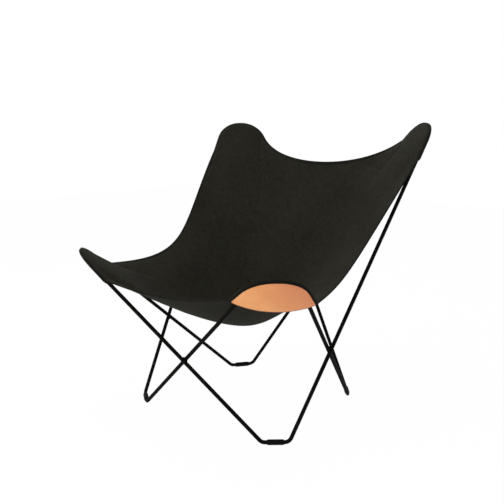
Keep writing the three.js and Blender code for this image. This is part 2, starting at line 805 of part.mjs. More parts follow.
const sideMiddle = (side) => vec(side * SIDE_EDGE_MIDDLE.x, SIDE_EDGE_MIDDLE.y, SIDE_EDGE_MIDDLE.z);
const sideBows = [SIDE_EDGE_FRONT_BOW, SIDE_EDGE_BACK_BOW];
const endMiddle = ({ y, z }) => vec(0, y, z);
const edges = [
  ["right", sideMiddle(RIGHT), sideBows],
  ["back", endMiddle(BACK_EDGE_MIDDLE), [BACK_EDGE_BOW, BACK_EDGE_BOW]],
  ["left", sideMiddle(LEFT), sideBows.toReversed()],
  ["front", endMiddle(FRONT_EDGE_MIDDLE), [FRONT_EDGE_BOW, FRONT_EDGE_BOW]],
];

// Columns of held points round the sling: pocket stations, then the free edge after them
const columns = [];
const edgeStarts = [];
pockets.forEach(([, pocket], k) => {
  const rowsAt = ({ at }, station) => canvasRows(station).map((row) => at(station, row));
  const held = pocket.stations.map((station) => rowsAt(pocket, station));
  const next = pockets[(k + 1) % pockets.length][1];
  const mouths = [held.at(-1), rowsAt(next, next.stations[0])];
  const [, middle, bows] = edges[k];
  const edge = freeEdge(mouths[0][0], mouths[1][0], middle, bows);
  const end = TAPE_END_SPACE / edge.getLength();
  const besideMouth = (rows, share) => {
    const slide = minus(edge.getPointAt(share), rows[0]);
    return rows.map((point) => point.clone().add(slide));
  };
  const steps = Array.from({ length: EDGE_STEPS - 1 }, (_, s) => (s + 1) / EDGE_STEPS);
  const free = steps.map((share) => [edge.getPointAt(share)]);
  columns.push(...held);
  edgeStarts.push(columns.length);
  columns.push(besideMouth(mouths[0], end), ...free, besideMouth(mouths[1], 1 - end));
});
const sling = hangSling(columns);

add("sling_body", slingBody(sling), "canvas");
edges.forEach(([name], k) => add(`edge_binding_${name}`, edgeBinding(sling, edgeStarts[k]), "tape"));
for (const [name, pocket] of pockets) {
  add(`pocket_leather_${name}`, leatherPanel(pocket), "leather");
  add(`pocket_binding_${name}`, pocketBinding(pocket), "tape");
}

// The origin is on the floor under the middle of the chair.
const middle = new THREE.Box3().setFromObject(chair, true).getCenter(vec(0, 0, 0));
chair.position.set(-middle.x, -middle.y, 0);

export default chair;
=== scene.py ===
"""Butterfly sling chair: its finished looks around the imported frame. Metres, +Z up, facing -Y."""

import math

import bmesh
import bpy
import numpy as np
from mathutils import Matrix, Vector


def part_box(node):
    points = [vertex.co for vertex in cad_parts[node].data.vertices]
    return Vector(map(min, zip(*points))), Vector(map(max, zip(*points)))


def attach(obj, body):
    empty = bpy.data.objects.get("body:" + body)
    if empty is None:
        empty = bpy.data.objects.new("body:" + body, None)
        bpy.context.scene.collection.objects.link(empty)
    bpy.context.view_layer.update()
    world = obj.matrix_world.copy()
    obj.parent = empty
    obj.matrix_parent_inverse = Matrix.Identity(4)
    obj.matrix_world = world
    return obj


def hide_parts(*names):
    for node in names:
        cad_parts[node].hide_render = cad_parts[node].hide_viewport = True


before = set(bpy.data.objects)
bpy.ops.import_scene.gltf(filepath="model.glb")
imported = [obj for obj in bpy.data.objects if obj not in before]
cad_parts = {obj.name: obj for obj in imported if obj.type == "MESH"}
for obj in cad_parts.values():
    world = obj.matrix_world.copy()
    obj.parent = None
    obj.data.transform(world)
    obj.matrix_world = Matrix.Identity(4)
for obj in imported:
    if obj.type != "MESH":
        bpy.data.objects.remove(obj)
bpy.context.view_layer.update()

# Rod frame, as the part gives it: sharp corners of the right half before bending
ROD_RADIUS = 0.006
FRONT_CORNER = (0.451, -0.459, 0.623)
BACK_CORNER = (0.464, 0.498, 1.086)
FRONT_FOOT = (0.277, -0.240)
BACK_FOOT_Y = 0.235
FOOT_FLAT = 0.081
FRONT_FOOT_ANGLE = math.radians(39.1)
BACK_FOOT_ANGLE = math.radians(52.4)
FRONT_TOP_RADIUS = 0.084
BACK_TOP_RADIUS = 0.0755
FOOT_BEND_RADIUS = 0.022

# Floor glides and weld beads
GLIDE_WALL = 0.002
GLIDE_SOLE = 0.0012
GLIDE_END_SPACE = 0.0015
GLIDE_LIP = 0.0009
GLIDE_TAPER = 0.005
WELD_REACH = 0.009
WELD_DEPTH = 0.006
WELD_RIPPLE = 0.0004
WELD_RIPPLES = 9
WELD_SWIRL = 3

# Sling: pockets, free edges and seat, as the part gives them
SHEET_SPACE = 0.0024
SEAM_ALLOWANCE = 0.007
FRONT_MOUTH_FLARE = 0.014
FRONT_SIDE_FLARE = 0.012
BACK_SIDE_FLARE = 0.003
BACK_RIGHT_REAR_FLARE = 0.034
BACK_LEFT_REAR_FLARE = 0.011
FLARE_GROWTH = 1.2
FRONT_POCKET_DEPTH = 0.103
BACK_POCKET_SIDE_DEPTH = 0.120
BACK_POCKET_REAR_DEPTH = 0.065
SLING_TURN = 0.009
FRONT_EDGE_MIDDLE = (0.0, -0.408, 0.432)
BACK_EDGE_MIDDLE = (0.0, 0.416, 0.782)
SIDE_EDGE_MIDDLE = (0.370, 0.040, 0.522)
FRONT_EDGE_BOW = 0.74
BACK_EDGE_BOW = 0.44
SIDE_EDGE_FRONT_BOW = 1.44
SIDE_EDGE_BACK_BOW = 0.77
SEAT_HEIGHT = 0.272
MOUTH_SPACE = 0.003

# Canvas, leather, tape and thread
CANVAS_THICKNESS = 0.0017
LEATHER_THICKNESS = 0.0024
LEATHER_DROP = 0.030
LEATHER_CROWN = 0.006
LEATHER_ROUNDING = 0.0006
TAPE_THICKNESS = 0.0010
TAPE_REACH = 0.0085
TAPE_SHARES = (0.75, 0.5, 0.25, 0.05)
TAPE_EDGE_BULGE = 0.2
TAPE_EDGE_SLOPE = 0.3
POCKET_TAPE_REACH = 0.006
POCKET_TAPE_SHARES = (0.75, 0.5, 0.25)
TAPE_NOSE = 0.0016
TAPE_STEP = 0.006
STITCH_PITCH = 0.0044
STITCH_LENGTH = 0.0031
STITCH_INSET = 0.0020
THREAD_RADIUS = 0.00042

# One stitch at five stations: share of its length, then height and girth in thread radii
STITCH_STATIONS = (
    (-0.5, -0.9, 0.55),
    (-0.36, 0.1, 0.95),
    (0, 0.45, 1.0),
    (0.36, 0.1, 0.95),
    (0.5, -0.9, 0.55),
)

# Clearances
ROD_GAP = 0.0003
SHEET_GAP = 0.0004
TAPE_GAP = 0.0001

# Fineness of the meshes, and the angles from which their edges are sharp
ROD_SIDES = 28
ROD_BEND_STEP = math.radians(4)
ROD_STRAIGHT_STEPS = 6
WELD_RINGS = 28
WELD_SIDES = 48
GLIDE_SIDES = 40
LEATHER_LEG_STEPS = 14
LEATHER_ARC_STEPS = 40
LEATHER_EDGE_STEPS = 40
LEATHER_RINGS = 10
LEATHER_EDGE_SAMPLES = 80
FREE_EDGE_SAMPLES = 400
NOSE_STEPS = 8
THREAD_SIDES = 6
ROUNDING_STEPS = 2
CREASE_ANGLE = math.radians(50)
TAPE_CREASE_ANGLE = math.radians(60)

# Net of the hanging canvas: coarse rings and columns as in the part, split finer here
COARSE_RINGS = 7
COARSE_EDGE_STEPS = 10
COARSE_ARC_STEPS = 8
HEM_RINGS = (0, 0.5, 1, 1.33, 1.67, 2)
NET_RING_STEP = 0.25
EDGE_RING_PULL = 6.5
HOOP_PULL = 70
COLUMN_STEP = 0.008
HEM_EASE_ROUNDS = 150
HEM_BLEND_RINGS = 4
HEM_BLEND_ROUNDS = 12
MOST_LOAD = 1e3

# Solving: rounds, what counts as solved, and the least number to divide by
TOUCH_ROUNDS = 12
TOUCH_NUDGE = 0.001
HALVINGS = 50
NET_ROUNDS = 4000
NET_ACCURACY = 1e-9
SMALLEST = 1e-300

# Where the sheet leaves the rod on its inner side, as an angle from the rod's outer side
WRAP_END = math.radians(105)
WRAP_STEPS = 3

# Slubs of the canvas: thick places in its threads, in counts to the metre, and the warp's share of them
SLUBS_ACROSS = 330
SLUBS_ALONG = 34
WARP_SHARE = 0.6

# Length over the sling, for its threads, is taken as depth plus this share of height
HEIGHT_SHARE = 0.6

# Noises of the finishes: scale to the metre, detail and roughness
SLUB_NOISE = (1.0, 3.0, 0.6)
FADING_NOISE = (5.0, 3.0, 0.55)
THREAD_NOISE = (420.0, 2.0, 0.7)
PEEL_NOISE = (900.0, 2.0, 0.5)
PATCH_NOISE = (14.0, 3.0, 0.6)
SPECK_NOISE = (260.0, 4.0, 0.7)
MOTTLE_NOISE = (16.0, 4.0, 0.6)
HIDE_NOISE = (300.0, 4.0, 0.65)
PORE_SCALE = 700.0

# The part of each noise's values that is spread over a whole range
NOISE_RANGE = (0.3, 0.7)
SLUB_RANGE = (0.40, 0.60)
SLUB_ROUGHNESS_RANGE = (0.2, 0.8)
SPECK_RANGE = (0.5, 0.75)
PATCH_RANGE = (0.35, 0.7)
HIDE_GRAIN_RANGE = (0.45, 0.8)

# Woven cloth: what slubs, fading, fine grain and weave add to its tone and to its bumps
SLUB_TONE = 0.45
FADING_TONE = 0.3
GRAIN_TONE = 0.25
WEAVE_BUMP = 0.25
SLUB_BUMP = 0.9
GRAIN_BUMP = 0.6
CLOTH_ROUGHNESS = (0.98, 0.86)
CLOTH_SHEEN = {"Specular IOR Level": 0.1, "Sheen Weight": 0.016, "Sheen Roughness": 0.5,
               "Sheen Tint": (0.75, 0.72, 0.6, 1)}

# Coating: the least and the most dust that lies on its patches
DUST_SHARE = (0.1, 0.5)

# Finishes of cloth and coating: name, group, the group's inputs, bump depth and strength, shader values
FINISHES = {
    "canvas": ("black olive canvas", "woven", {
        "Dark": (0.0024, 0.0023, 0.0015, 1), "Light": (0.0194, 0.0185, 0.0118, 1), "Thread pitch": 0.0013,
    }, (0.0006, 0.8), CLOTH_SHEEN),
    "tape": ("black binding tape", "woven", {
        "Dark": (0.0022, 0.0021, 0.0016, 1), "Light": (0.0085, 0.0080, 0.0058, 1), "Thread pitch": 0.0009,
    }, (0.0004, 0.7), CLOTH_SHEEN),
    "thread": ("waxed black thread", "woven", {
        "Dark": (0.004, 0.0038, 0.003, 1), "Light": (0.014, 0.013, 0.0098, 1), "Thread pitch": 0.0004,
    }, (0.0001, 0.5), {"Specular IOR Level": 0.4}),
    "rod": ("black powder coat", "coated", {
        "Coat": (0.0050, 0.0048, 0.0044, 1), "Dust": (0.018, 0.017, 0.0153, 1),
        "Gloss low": 0.42, "Gloss high": 0.56,
    }, (0.0001, 0.25), {"Specular IOR Level": 0.01}),
    "weld": ("powder coat over weld", "coated", {
        "Coat": (0.0052, 0.0050, 0.0046, 1), "Dust": (0.021, 0.020, 0.018, 1),
        "Gloss low": 0.46, "Gloss high": 0.60,
    }, (0.0003, 0.5), {"Specular IOR Level": 0.01}),
    "glide": ("black moulded plastic", "coated", {
        "Coat": (0.0050, 0.0049, 0.0047, 1), "Dust": (0.022, 0.021, 0.0195, 1),
        "Gloss low": 0.55, "Gloss high": 0.72,
    }, (0.0002, 0.3), {"Specular IOR Level": 0.03}),
}

# Leather: its tans, a painted shade that darkens it towards the sides and how far from the chair's middle
# that sets in, its grain, and a dark band along its lower edge
HIDE_DEEP = (0.87, 0.355, 0.124, 1)
HIDE_PALE = (0.95, 0.425, 0.158, 1)
# Painted shade: the darker tan laid on the panels' outer ends, away from the chair's middle
PAINTED_SHADE_TAN = (0.72, 0.250, 0.096, 1)
PAINTED_SHADE_RANGE = (0.32, 0.41)
HIDE_GRAIN = (0.42, 0.15, 0.055, 1)
HIDE_GRAIN_SHARE = 0.22
# A dark band painted on each panel within a few millimetres of its lower edge
LOWER_EDGE_DARK = (0.115, 0.030, 0.014, 1)
LOWER_EDGE_DARK_RANGE = (0.0030, 0.0042)
LOWER_EDGE_DARK_SHARE = 0.97
LEATHER_ROUGHNESS = (0.42, 0.62)
LEATHER_BUMP = (0.0004, 0.5)
PORE_BUMP = 0.6
LEATHER_SPECULAR = 0.4

# Sockets of Blender's Mix node when it mixes colours: share, first, second, and the mixed colour
MIX_INPUTS = (0, 6, 7)
MIX_OUTPUT = 2

# Camera, fitted to the photograph
FOCAL_PIXELS = 718.35
FRAME_PIXELS = 504
SENSOR_MILLIMETRES = 36.0
CAMERA_AZIMUTH = math.radians(38.03)
CAMERA_ELEVATION = math.radians(10.25)
CAMERA_DISTANCE = 2.3675
CAMERA_AIM = (-0.0023, -0.0008, 0.5055)

# Studio: lamps as place, size and power
AIR_LIGHT = 0.6
WHITE = (1, 1, 1, 1)
FLOOR_HALF = 6.0
FLOOR_WHITE = 0.975
FLOOR_PAINT = (0.93, 0.93, 0.93, 1)
FLOOR_ROUGHNESS = 0.9
FLOOR_SPECULAR = 0.1
LAMP_AIM = (0, 0, 0.45)
LAMPS = {
    "soft_key": ((-1.7, -2.7, 1.9), 1.8, 67.0),
    "soft_fill": ((2.6, -1.4, 1.5), 1.8, 5.5),
    "soft_top": ((0.0, 0.4, 3.0), 2.2, 26.0),
}

FOOT_HEIGHT = ROD_RADIUS + ROD_GAP + GLIDE_SOLE
UP = np.array([0.0, 0.0, 1.0])
LEFT = -1
RIGHT = 1


# Small helpers

def unit(v):
    return v / np.linalg.norm(v, axis=-1, keepdims=True)


def point(values):
    return np.array(values, float)


def turned_to(vector, start, end):
    """The vector after the shortest turn that brings one unit direction to another."""
    axis = np.cross(start, end)
    once = np.cross(axis, vector)
    return vector + once + np.cross(axis, once) / (1 + start @ end)


def bisected(low, high, test):
    """The value between two where a test stops being true."""
    for _ in range(HALVINGS):
        middle = (low + high) / 2
        if test(middle):
            low = middle
        else:
            high = middle
    return low


def lengths_along(line):
    """Length of a line of points from its start to each of them."""
    return np.concatenate([[0], np.cumsum(np.linalg.norm(np.diff(line, axis=0), axis=1))])


def read_along(table, walked, spots):
    """A table of three columns, read at given lengths along its line."""
    return np.stack([np.interp(spots, walked, table[:, k]) for k in range(3)], axis=1)


def grid_faces(rows, columns, close_rows=False, close_columns=False):
    """Four-sided faces over a grid of points that is numbered row by row."""
    faces = []
    for r in range(rows if close_rows else rows - 1):
        for c in range(columns if close_columns else columns - 1):
            r2, c2 = (r + 1) % rows, (c + 1) % columns
            faces.append((r * columns + c, r * columns + c2, r2 * columns + c2, r2 * columns + c))
    return faces


def tube_faces(rings, sides):
    """Faces of a tube of like rings, closed at both ends."""
    last = (rings - 1) * sides
    ends = [tuple(range(sides)), tuple(range(last, last + sides))]
    return grid_faces(rings, sides, close_columns=True) + ends


def add_piece(name, points, faces, finish, nodes=()):
    """A smooth mesh that rides on the chair, faces outwards and stands for the given nodes."""
    mesh = bpy.data.meshes.new(name)
    mesh.from_pydata(np.asarray(points, float).tolist(), [], faces)
    made = bmesh.new()
    made.from_mesh(mesh)
    bmesh.ops.recalc_face_normals(made, faces=made.faces)
    made.to_mesh(mesh)
    made.free()
    mesh.polygons.foreach_set("use_smooth", [True] * len(mesh.polygons))
    mesh.materials.append(finish)
    piece = bpy.data.objects.new(name, mesh)
    bpy.context.scene.collection.objects.link(piece)
    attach(piece, "root")
    if nodes:
        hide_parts(*nodes)
    return piece


def soften_edges(piece, width, angle):
    bevel = piece.modifiers.new("softened edges", "BEVEL")
    bevel.width = width
    bevel.segments = ROUNDING_STEPS
    bevel.limit_method = "ANGLE"
    bevel.angle_limit = angle
    return piece


# Rod frame

def loop_corners(side, offsets):
    """Sharp corners of the loop that carries the front corner on this side."""
    front_y = side * offsets["front"] / 2
    back_y = side * offsets["back"] / 2

    def foot(x, y, angle):
        direction = point((-side * math.cos(angle), math.sin(angle), 0))
        centre = point((x, y, FOOT_HEIGHT))
        half = direction * FOOT_FLAT / 2
        return {"centre": centre, "direction": direction, "front": centre - half, "back": centre + half}

    foot_x = offsets["foot_left"] if side == LEFT else offsets["foot_right"]
    return {
        "front_top": point((side * FRONT_CORNER[0], FRONT_CORNER[1] + front_y, FRONT_CORNER[2])),
        "back_top": point((-side * BACK_CORNER[0], BACK_CORNER[1] + back_y, BACK_CORNER[2])),
        "front_foot": foot(-side * FRONT_FOOT[0], FRONT_FOOT[1] + front_y, FRONT_FOOT_ANGLE),
        "back_foot": foot(side * foot_x, BACK_FOOT_Y + back_y, BACK_FOOT_ANGLE),
    }


def crossings(left, right):
    """The four places where a rod of one loop crosses a rod of the other, and the way they face."""
    x, y = point((1, 0, 0)), point((0, 1, 0))
    return {
        "front": ((left["front_top"], left["front_foot"]["front"]),
                  (right["front_top"], right["front_foot"]["front"]), y),
        "back": ((left["back_top"], left["back_foot"]["back"]),
                 (right["back_top"], right["back_foot"]["back"]), y),
        "right": ((right["front_top"], right["back_foot"]["front"]),
                  (left["front_foot"]["back"], left["back_top"]), x),
        "left": ((left["front_top"], left["back_foot"]["front"]),
                 (right["front_foot"]["back"], right["back_top"]), -x),
    }


def nearest(rod, other, facing):
    """Nearest points of two rods' centre lines, their directions and their distance along facing."""
    first, second = unit(rod[1] - rod[0]), unit(other[1] - other[0])
    normal = unit(np.cross(first, second))
    normal = normal * np.sign(normal @ facing)
    between = other[0] - rod[0]
    slant = first @ second
    square = 1 - slant * slant
    along = (between @ first - between @ second * slant) / square
    back = (between @ first * slant - between @ second) / square
    points = (rod[0] + first * along, other[0] + second * back)
    return {"normal": normal, "distance": between @ normal, "points": points, "directions": (first, second)}


def touching_offsets():
    """Moves the loops apart, and each back foot in or out, until all four crossings touch."""
    touch = 2 * ROD_RADIUS + ROD_GAP
    offsets = {"front": touch, "back": touch, "foot_right": FRONT_FOOT[0], "foot_left": FRONT_FOOT[0]}
    tied = {"front": "front", "back": "back", "foot_right": "right", "foot_left": "left"}

    def distance(place, trial):
        pairs = crossings(loop_corners(LEFT, trial), loop_corners(RIGHT, trial))
        return nearest(*pairs[place])["distance"]

    for _ in range(TOUCH_ROUNDS):
        for size, place in tied.items():
            now = distance(place, offsets)
            nudged = distance(place, {**offsets, size: offsets[size] + TOUCH_NUDGE})
            offsets[size] += (touch - now) * TOUCH_NUDGE / (nudged - now)
    return offsets


def bend_at(corner, before, after, radius):
    """A bend of one radius at a sharp corner between two legs."""
    legs = [unit(before - corner), unit(after - corner)]
    half = math.acos(legs[0] @ legs[1]) / 2
    inward = unit(legs[0] + legs[1])
    centre = corner + inward * radius / math.sin(half)
    tangents = [corner + leg * radius / math.tan(half) for leg in legs]
    outward = [unit(t - centre) for t in tangents]
    axis = unit(np.cross(*outward))
    return {"legs": legs, "half": half, "inward": inward, "centre": centre, "radius": radius,
            "tangents": tangents, "outward": outward, "axis": axis}


def round_bend(bend, share):
    """The point at a share of the bend, and its direction away from the bend's centre."""
    angle = share * (math.pi - 2 * bend["half"])
    start = bend["outward"][0]
    away = start * math.cos(angle) + np.cross(bend["axis"], start) * math.sin(angle)
    return bend["centre"] + away * bend["radius"], away


def reversed_bend(bend):
    """The same bend entered by its other leg."""
    swapped = {key: bend[key][::-1] for key in ("legs", "tangents", "outward")}
    return {**bend, **swapped, "axis": -bend["axis"]}


def loop_bends(loop):
    front, back = loop["front_foot"], loop["back_foot"]
    corners = [
        ("front_top", loop["front_top"], FRONT_TOP_RADIUS),
        ("front_foot_front", front["front"], FOOT_BEND_RADIUS),
        ("front_foot_back", front["back"], FOOT_BEND_RADIUS),
        ("back_top", loop["back_top"], BACK_TOP_RADIUS),
        ("back_foot_back", back["back"], FOOT_BEND_RADIUS),
        ("back_foot_front", back["front"], FOOT_BEND_RADIUS),
    ]
    bends = {}
    for k, (name, corner, radius) in enumerate(corners):
        after = corners[(k + 1) % len(corners)][1]
        bends[name] = bend_at(corner, corners[k - 1][1], after, radius)
    return bends


def rod_loop(name, bends, finish, node):
    """One closed round rod, with fine steps in its bends and along its straights."""
    stations = []
    ordered = list(bends.values())
    for bend, after in zip(ordered, ordered[1:] + ordered[:1]):
        steps = math.ceil((math.pi - 2 * bend["half"]) / ROD_BEND_STEP)
        for k in range(steps + 1):
            place, away = round_bend(bend, k / steps)
            stations.append((place, np.cross(bend["axis"], away)))
        last, heading = stations[-1]
        run = after["tangents"][0] - last
        for k in range(1, ROD_STRAIGHT_STEPS):
            stations.append((last + run * k / ROD_STRAIGHT_STEPS, heading))
    spokes = [ordered[0]["axis"]]
    for (_, before), (_, heading) in zip(stations, stations[1:]):
        spokes.append(turned_to(spokes[-1], before, heading))
    home = turned_to(spokes[-1], stations[-1][1], stations[0][1])
    start, axis = spokes[0], stations[0][1]
    twist = math.atan2(np.cross(home, start) @ axis, home @ start)
    angles = np.linspace(0, 2 * math.pi, ROD_SIDES, endpoint=False)
    points = []
    for k, ((place, heading), spoke) in enumerate(zip(stations, spokes)):
        turn = angles + twist * k / len(stations)
        across = np.cross(heading, spoke)
        ring = np.outer(np.cos(turn), spoke) + np.outer(np.sin(turn), across)
        points.extend(place + ring * ROD_RADIUS)
    faces = grid_faces(len(stations), ROD_SIDES, close_rows=True, close_columns=True)
    return add_piece(name, points, faces, finish, [node])


def weld_bead(name, crossing, finish, node):
    """A rippled bead that fills the corners round the point where two rods touch."""
    first = crossing["directions"][0]
    normal = crossing["normal"]
    across = np.cross(normal, first)
    middle = (crossing["points"][0] + crossing["points"][1]) / 2
    tilt = np.linspace(0, math.pi, WELD_RINGS)[:, None]
    turn = np.linspace(0, 2 * math.pi, WELD_SIDES, endpoint=False)[None, :]
    wave = np.sin(WELD_RIPPLES * turn + WELD_SWIRL * np.cos(tilt)) * np.sin(tilt)
    ripple = 1 + WELD_RIPPLE / WELD_REACH * wave
    x = WELD_REACH * np.sin(tilt) * np.cos(turn) * ripple
    y = WELD_REACH * np.sin(tilt) * np.sin(turn) * ripple
    z = WELD_DEPTH * np.cos(tilt) * ripple
    points = middle + x[..., None] * first + y[..., None] * across + z[..., None] * normal
    inner = points[1:-1].reshape(-1, 3)
    faces = tube_faces(WELD_RINGS - 2, WELD_SIDES)
    return add_piece(name, inner, faces, finish, [node])


def floor_glide(name, foot, bend_tangent, finish, node):
    """A moulded sleeve on the straight of a foot: tapered ends, a flat sole."""
    outer = ROD_RADIUS + ROD_GAP + GLIDE_WALL
    half = FOOT_FLAT / 2 - bend_tangent - GLIDE_END_SPACE
    bore = ROD_RADIUS + ROD_GAP / 2
    lip = bore + GLIDE_LIP
    profile = [
        (half, bore),
        (half, lip),
        (half - GLIDE_TAPER / 2, (lip + 2 * outer) / 3),
        (half - GLIDE_TAPER, outer),
    ]
    profile += [(-along, radius) for along, radius in reversed(profile)]
    angles = np.linspace(0, 2 * math.pi, GLIDE_SIDES, endpoint=False)
    across = np.cross(UP, foot["direction"])
    points = []
    for along, radius in profile:
        sideways = radius * np.cos(angles)
        upward = np.maximum(radius * np.sin(angles), -FOOT_HEIGHT)
        ring = np.outer(sideways, across) + np.outer(upward, UP)
        points.extend(foot["centre"] + ring + along * foot["direction"])
    faces = grid_faces(len(profile), GLIDE_SIDES, close_rows=True, close_columns=True)
    piece = add_piece(name, points, faces, finish, [node])
    piece.data.set_sharp_from_angle(angle=CREASE_ANGLE)
    return piece


# Pockets

def pocket_at(bend, depths, flares):
    """A pocket over one top bend, from the mouth on its first leg to the mouth on its second."""
    normal = bend["axis"]
    inside = point((0, 0, bend["centre"][2] + bend["radius"]))
    normal = normal * np.sign((inside - bend["centre"]) @ normal)
    tip_to_tangent = bend["radius"] * (1 - math.sin(bend["half"]))
    runs = [(depth - tip_to_tangent) / math.cos(bend["half"]) for depth in depths]
    half_arc = bend["radius"] * (math.pi / 2 - bend["half"])
    mouths = (-half_arc - runs[0], half_arc + runs[1])
    return {"bend": bend, "normal": normal, "half_arc": half_arc, "mouths": mouths, "flares": flares}


def pocket_station(pocket, way):
    """The rod's point at a way from the bend's middle, its outward direction and the seam's flare."""
    bend, half_arc = pocket["bend"], pocket["half_arc"]
    leg = 0 if way < 0 else 1
    share = min(way / pocket["mouths"][leg], 1)
    flare = pocket["flares"][leg] * share ** FLARE_GROWTH
    beyond = abs(way) - half_arc
    if beyond > 0:
        return bend["tangents"][leg] + bend["legs"][leg] * beyond, bend["outward"][leg], flare
    return *round_bend(bend, (way / half_arc + 1) / 2), flare


def stations_at(pocket, ways):
    places, outward, flare = zip(*(pocket_station(pocket, way) for way in ways))
    return np.array(places), np.array(outward), np.array(flare)


def ways_between(bounds, steps):
    """Values over several spans, each cut into its own number of even steps."""
    spans = zip(bounds, bounds[1:], steps)
    parts = [np.linspace(start, end, count, endpoint=False) for start, end, count in spans]
    return np.concatenate([*parts, [bounds[-1]]])


def pocket_stations(pocket, step):
    """Stations along the rod inside a pocket, and their column numbers in the part's coarse net."""
    arc, (first, last) = pocket["half_arc"], pocket["mouths"]
    bounds = (first, -arc, arc, last)
    ways = ways_between(bounds, [round((b - a) / step) for a, b in zip(bounds, bounds[1:])])
    numbers = np.interp(ways, bounds, (0, 1, 1 + COARSE_ARC_STEPS, 2 + COARSE_ARC_STEPS))
    return *stations_at(pocket, ways), numbers


def wrap_rows(flare):
    """Middle line of a sheet over the rod at each station, as (outward, away) from the rod's centre:
    from the seam straight to where the sheet meets the rod, then round it."""
    clear = ROD_RADIUS + ROD_GAP + SHEET_SPACE / 2
    out = ROD_RADIUS + SEAM_ALLOWANCE + np.atleast_1d(flare)
    seam = np.stack([out, np.full_like(out, (SHEET_SPACE + SHEET_GAP) / 2)], 1)
    meets = np.arccos(clear / np.hypot(*seam.T)) + np.arctan2(seam[:, 1], seam[:, 0])
    angles = [meets + (WRAP_END - meets) * k / WRAP_STEPS for k in range(WRAP_STEPS + 1)]
    on_rod = [clear * np.stack([np.cos(a), np.sin(a)], 1) for a in angles]
    return np.array([seam, (seam + on_rod[0]) / 2, *on_rod])


def on_pocket(pocket, places, outward, section):
    """Points beside the rod, at (outward, away) distances from its centre."""
    return places + outward * section[..., :1] + pocket["normal"] * section[..., 1:]


def outside_rod(bend, points):
    """How far points of the pocket's plane lie outside the rod's centre line."""
    beyond = [(points - t) @ leg for t, leg in zip(bend["tangents"], bend["legs"])]
    beside = [(points - t) @ o for t, o in zip(bend["tangents"], bend["outward"])]
    round_part = np.linalg.norm(points - bend["centre"], axis=-1) - bend["radius"]
    on_leg = [np.where(b >= 0, s, -np.inf) for b, s in zip(beyond, beside)]
    straight = np.maximum(*on_leg)
    return np.where(np.isfinite(straight), straight, round_part)


def leather_panel(name, pocket, finish, node):
    """Half-moon of leather under the rod: round rim, bowed lower edge, slightly crowned."""
    bend = pocket["bend"]
    places, outward, flare = stations_at(pocket, pocket["mouths"])
    mouth_rows = wrap_rows(flare)
    inner = mouth_rows[-1, 0]
    corners = places + outward * mouth_rows[0, :, :1]
    bow = (corners[0] + corners[1]) / 2 + bend["inward"] * 2 * LEATHER_DROP

    def lower_edge(share):
        share = np.asarray(share, float)[..., None]
        return corners[0] * (1 - share) ** 2 + bow * 2 * share * (1 - share) + corners[1] * share ** 2

    def edge_share(out, end):
        return bisected(end, 0.5, lambda share: outside_rod(bend, lower_edge(share)) > out)

    def row_stations(r):
        ends = [lower_edge(edge_share(mouth_rows[r, end, 0], end)) for end in (0, 1)]
        runs = [(ends[k] - bend["tangents"][k]) @ bend["legs"][k] for k in (0, 1)]
        arc = pocket["half_arc"]
        bounds = (-arc - runs[0], -arc, arc, arc + runs[1])
        steps = (LEATHER_LEG_STEPS, LEATHER_ARC_STEPS, LEATHER_LEG_STEPS)
        return stations_at(pocket, ways_between(bounds, steps))

    flat_rows, heights = [], []
    for r in range(len(mouth_rows)):
        places, outward, flare = row_stations(r)
        section = wrap_rows(flare)[r]
        flat_rows.append(places + outward * section[:, :1])
        heights.append(section[:, 1])
    shares = np.linspace(edge_share(inner[0], 1), edge_share(inner[0], 0), LEATHER_EDGE_STEPS + 1)[1:-1]
    outline = np.vstack([flat_rows[-1], lower_edge(shares)])
    hub = ((corners[0] + corners[1]) / 2 + bend["centre"]) / 2
    disk = [outline + (hub - outline) * k / LEATHER_RINGS for k in range(1, LEATHER_RINGS)]
    field = np.vstack([lower_edge(shares), *disk, hub])
    depth = np.clip((inner[0] - outside_rod(bend, field)) / bend["radius"], 0, 1)
    heights.append(inner[1] + LEATHER_CROWN * np.sin(depth * math.pi / 2))
    flat = np.vstack([*flat_rows, field])
    middle = flat - pocket["normal"] * np.concatenate(heights)[:, None]

    row_count, count = len(flat_rows), len(flat_rows[0])
    faces = grid_faces(row_count, count)
    first = (row_count - 1) * count
    ring = list(range(first, first + len(outline)))
    border = list(range(count)) + [r * count + count - 1 for r in range(1, row_count)]
    border += ring[count:] + [r * count for r in range(row_count - 1, 0, -1)]
    for _ in disk:
        following = list(range(ring[-1] + 1, ring[-1] + 1 + len(ring)))
        for k in range(len(ring)):
            j = (k + 1) % len(ring)
            faces.append((ring[k], ring[j], following[j], following[k]))
        ring = following
    faces += [(ring[k], ring[(k + 1) % len(ring)], len(flat) - 1) for k in range(len(ring))]
    normals = np.tile(pocket["normal"], (len(flat), 1))
    points, faces = thickened(middle, normals, faces, border, LEATHER_THICKNESS)
    piece = add_piece(name, points, faces, finish, [node])
    # Distance to the lower edge, which sets the dark band painted along it
    to_edge = distance_to_lower_edge(flat, lower_edge)
    distances = piece.data.attributes.new("lower_edge_distance", "FLOAT", "POINT")
    distances.data.foreach_set("value", np.tile(to_edge, 2).astype(np.float32))
    return soften_edges(piece, LEATHER_ROUNDING, CREASE_ANGLE)


def distance_to_lower_edge(points, lower_edge):
    line = lower_edge(np.linspace(0, 1, LEATHER_EDGE_SAMPLES))
    return np.min(np.linalg.norm(points[:, None, :] - line[None, :, :], axis=2), axis=1)


def thickened(middle, normals, faces, border, thickness):
    """Points and faces of a closed sheet about a middle surface with the given border loop."""
    low = len(middle)
    points = np.vstack([middle + normals * thickness / 2, middle - normals * thickness / 2])
    under = [tuple(k + low for k in reversed(face)) for face in faces]
    rim = []
    for a, b in zip(border, border[1:] + border[:1]):
        rim.append((a, a + low, b + low, b))
    return points, faces + under + rim


def nose_turns():
    """Angles round the nose of a folded tape, from its top to its underside."""
    return np.linspace(math.pi / 2, -math.pi / 2, NOSE_STEPS + 1)[1:-1]


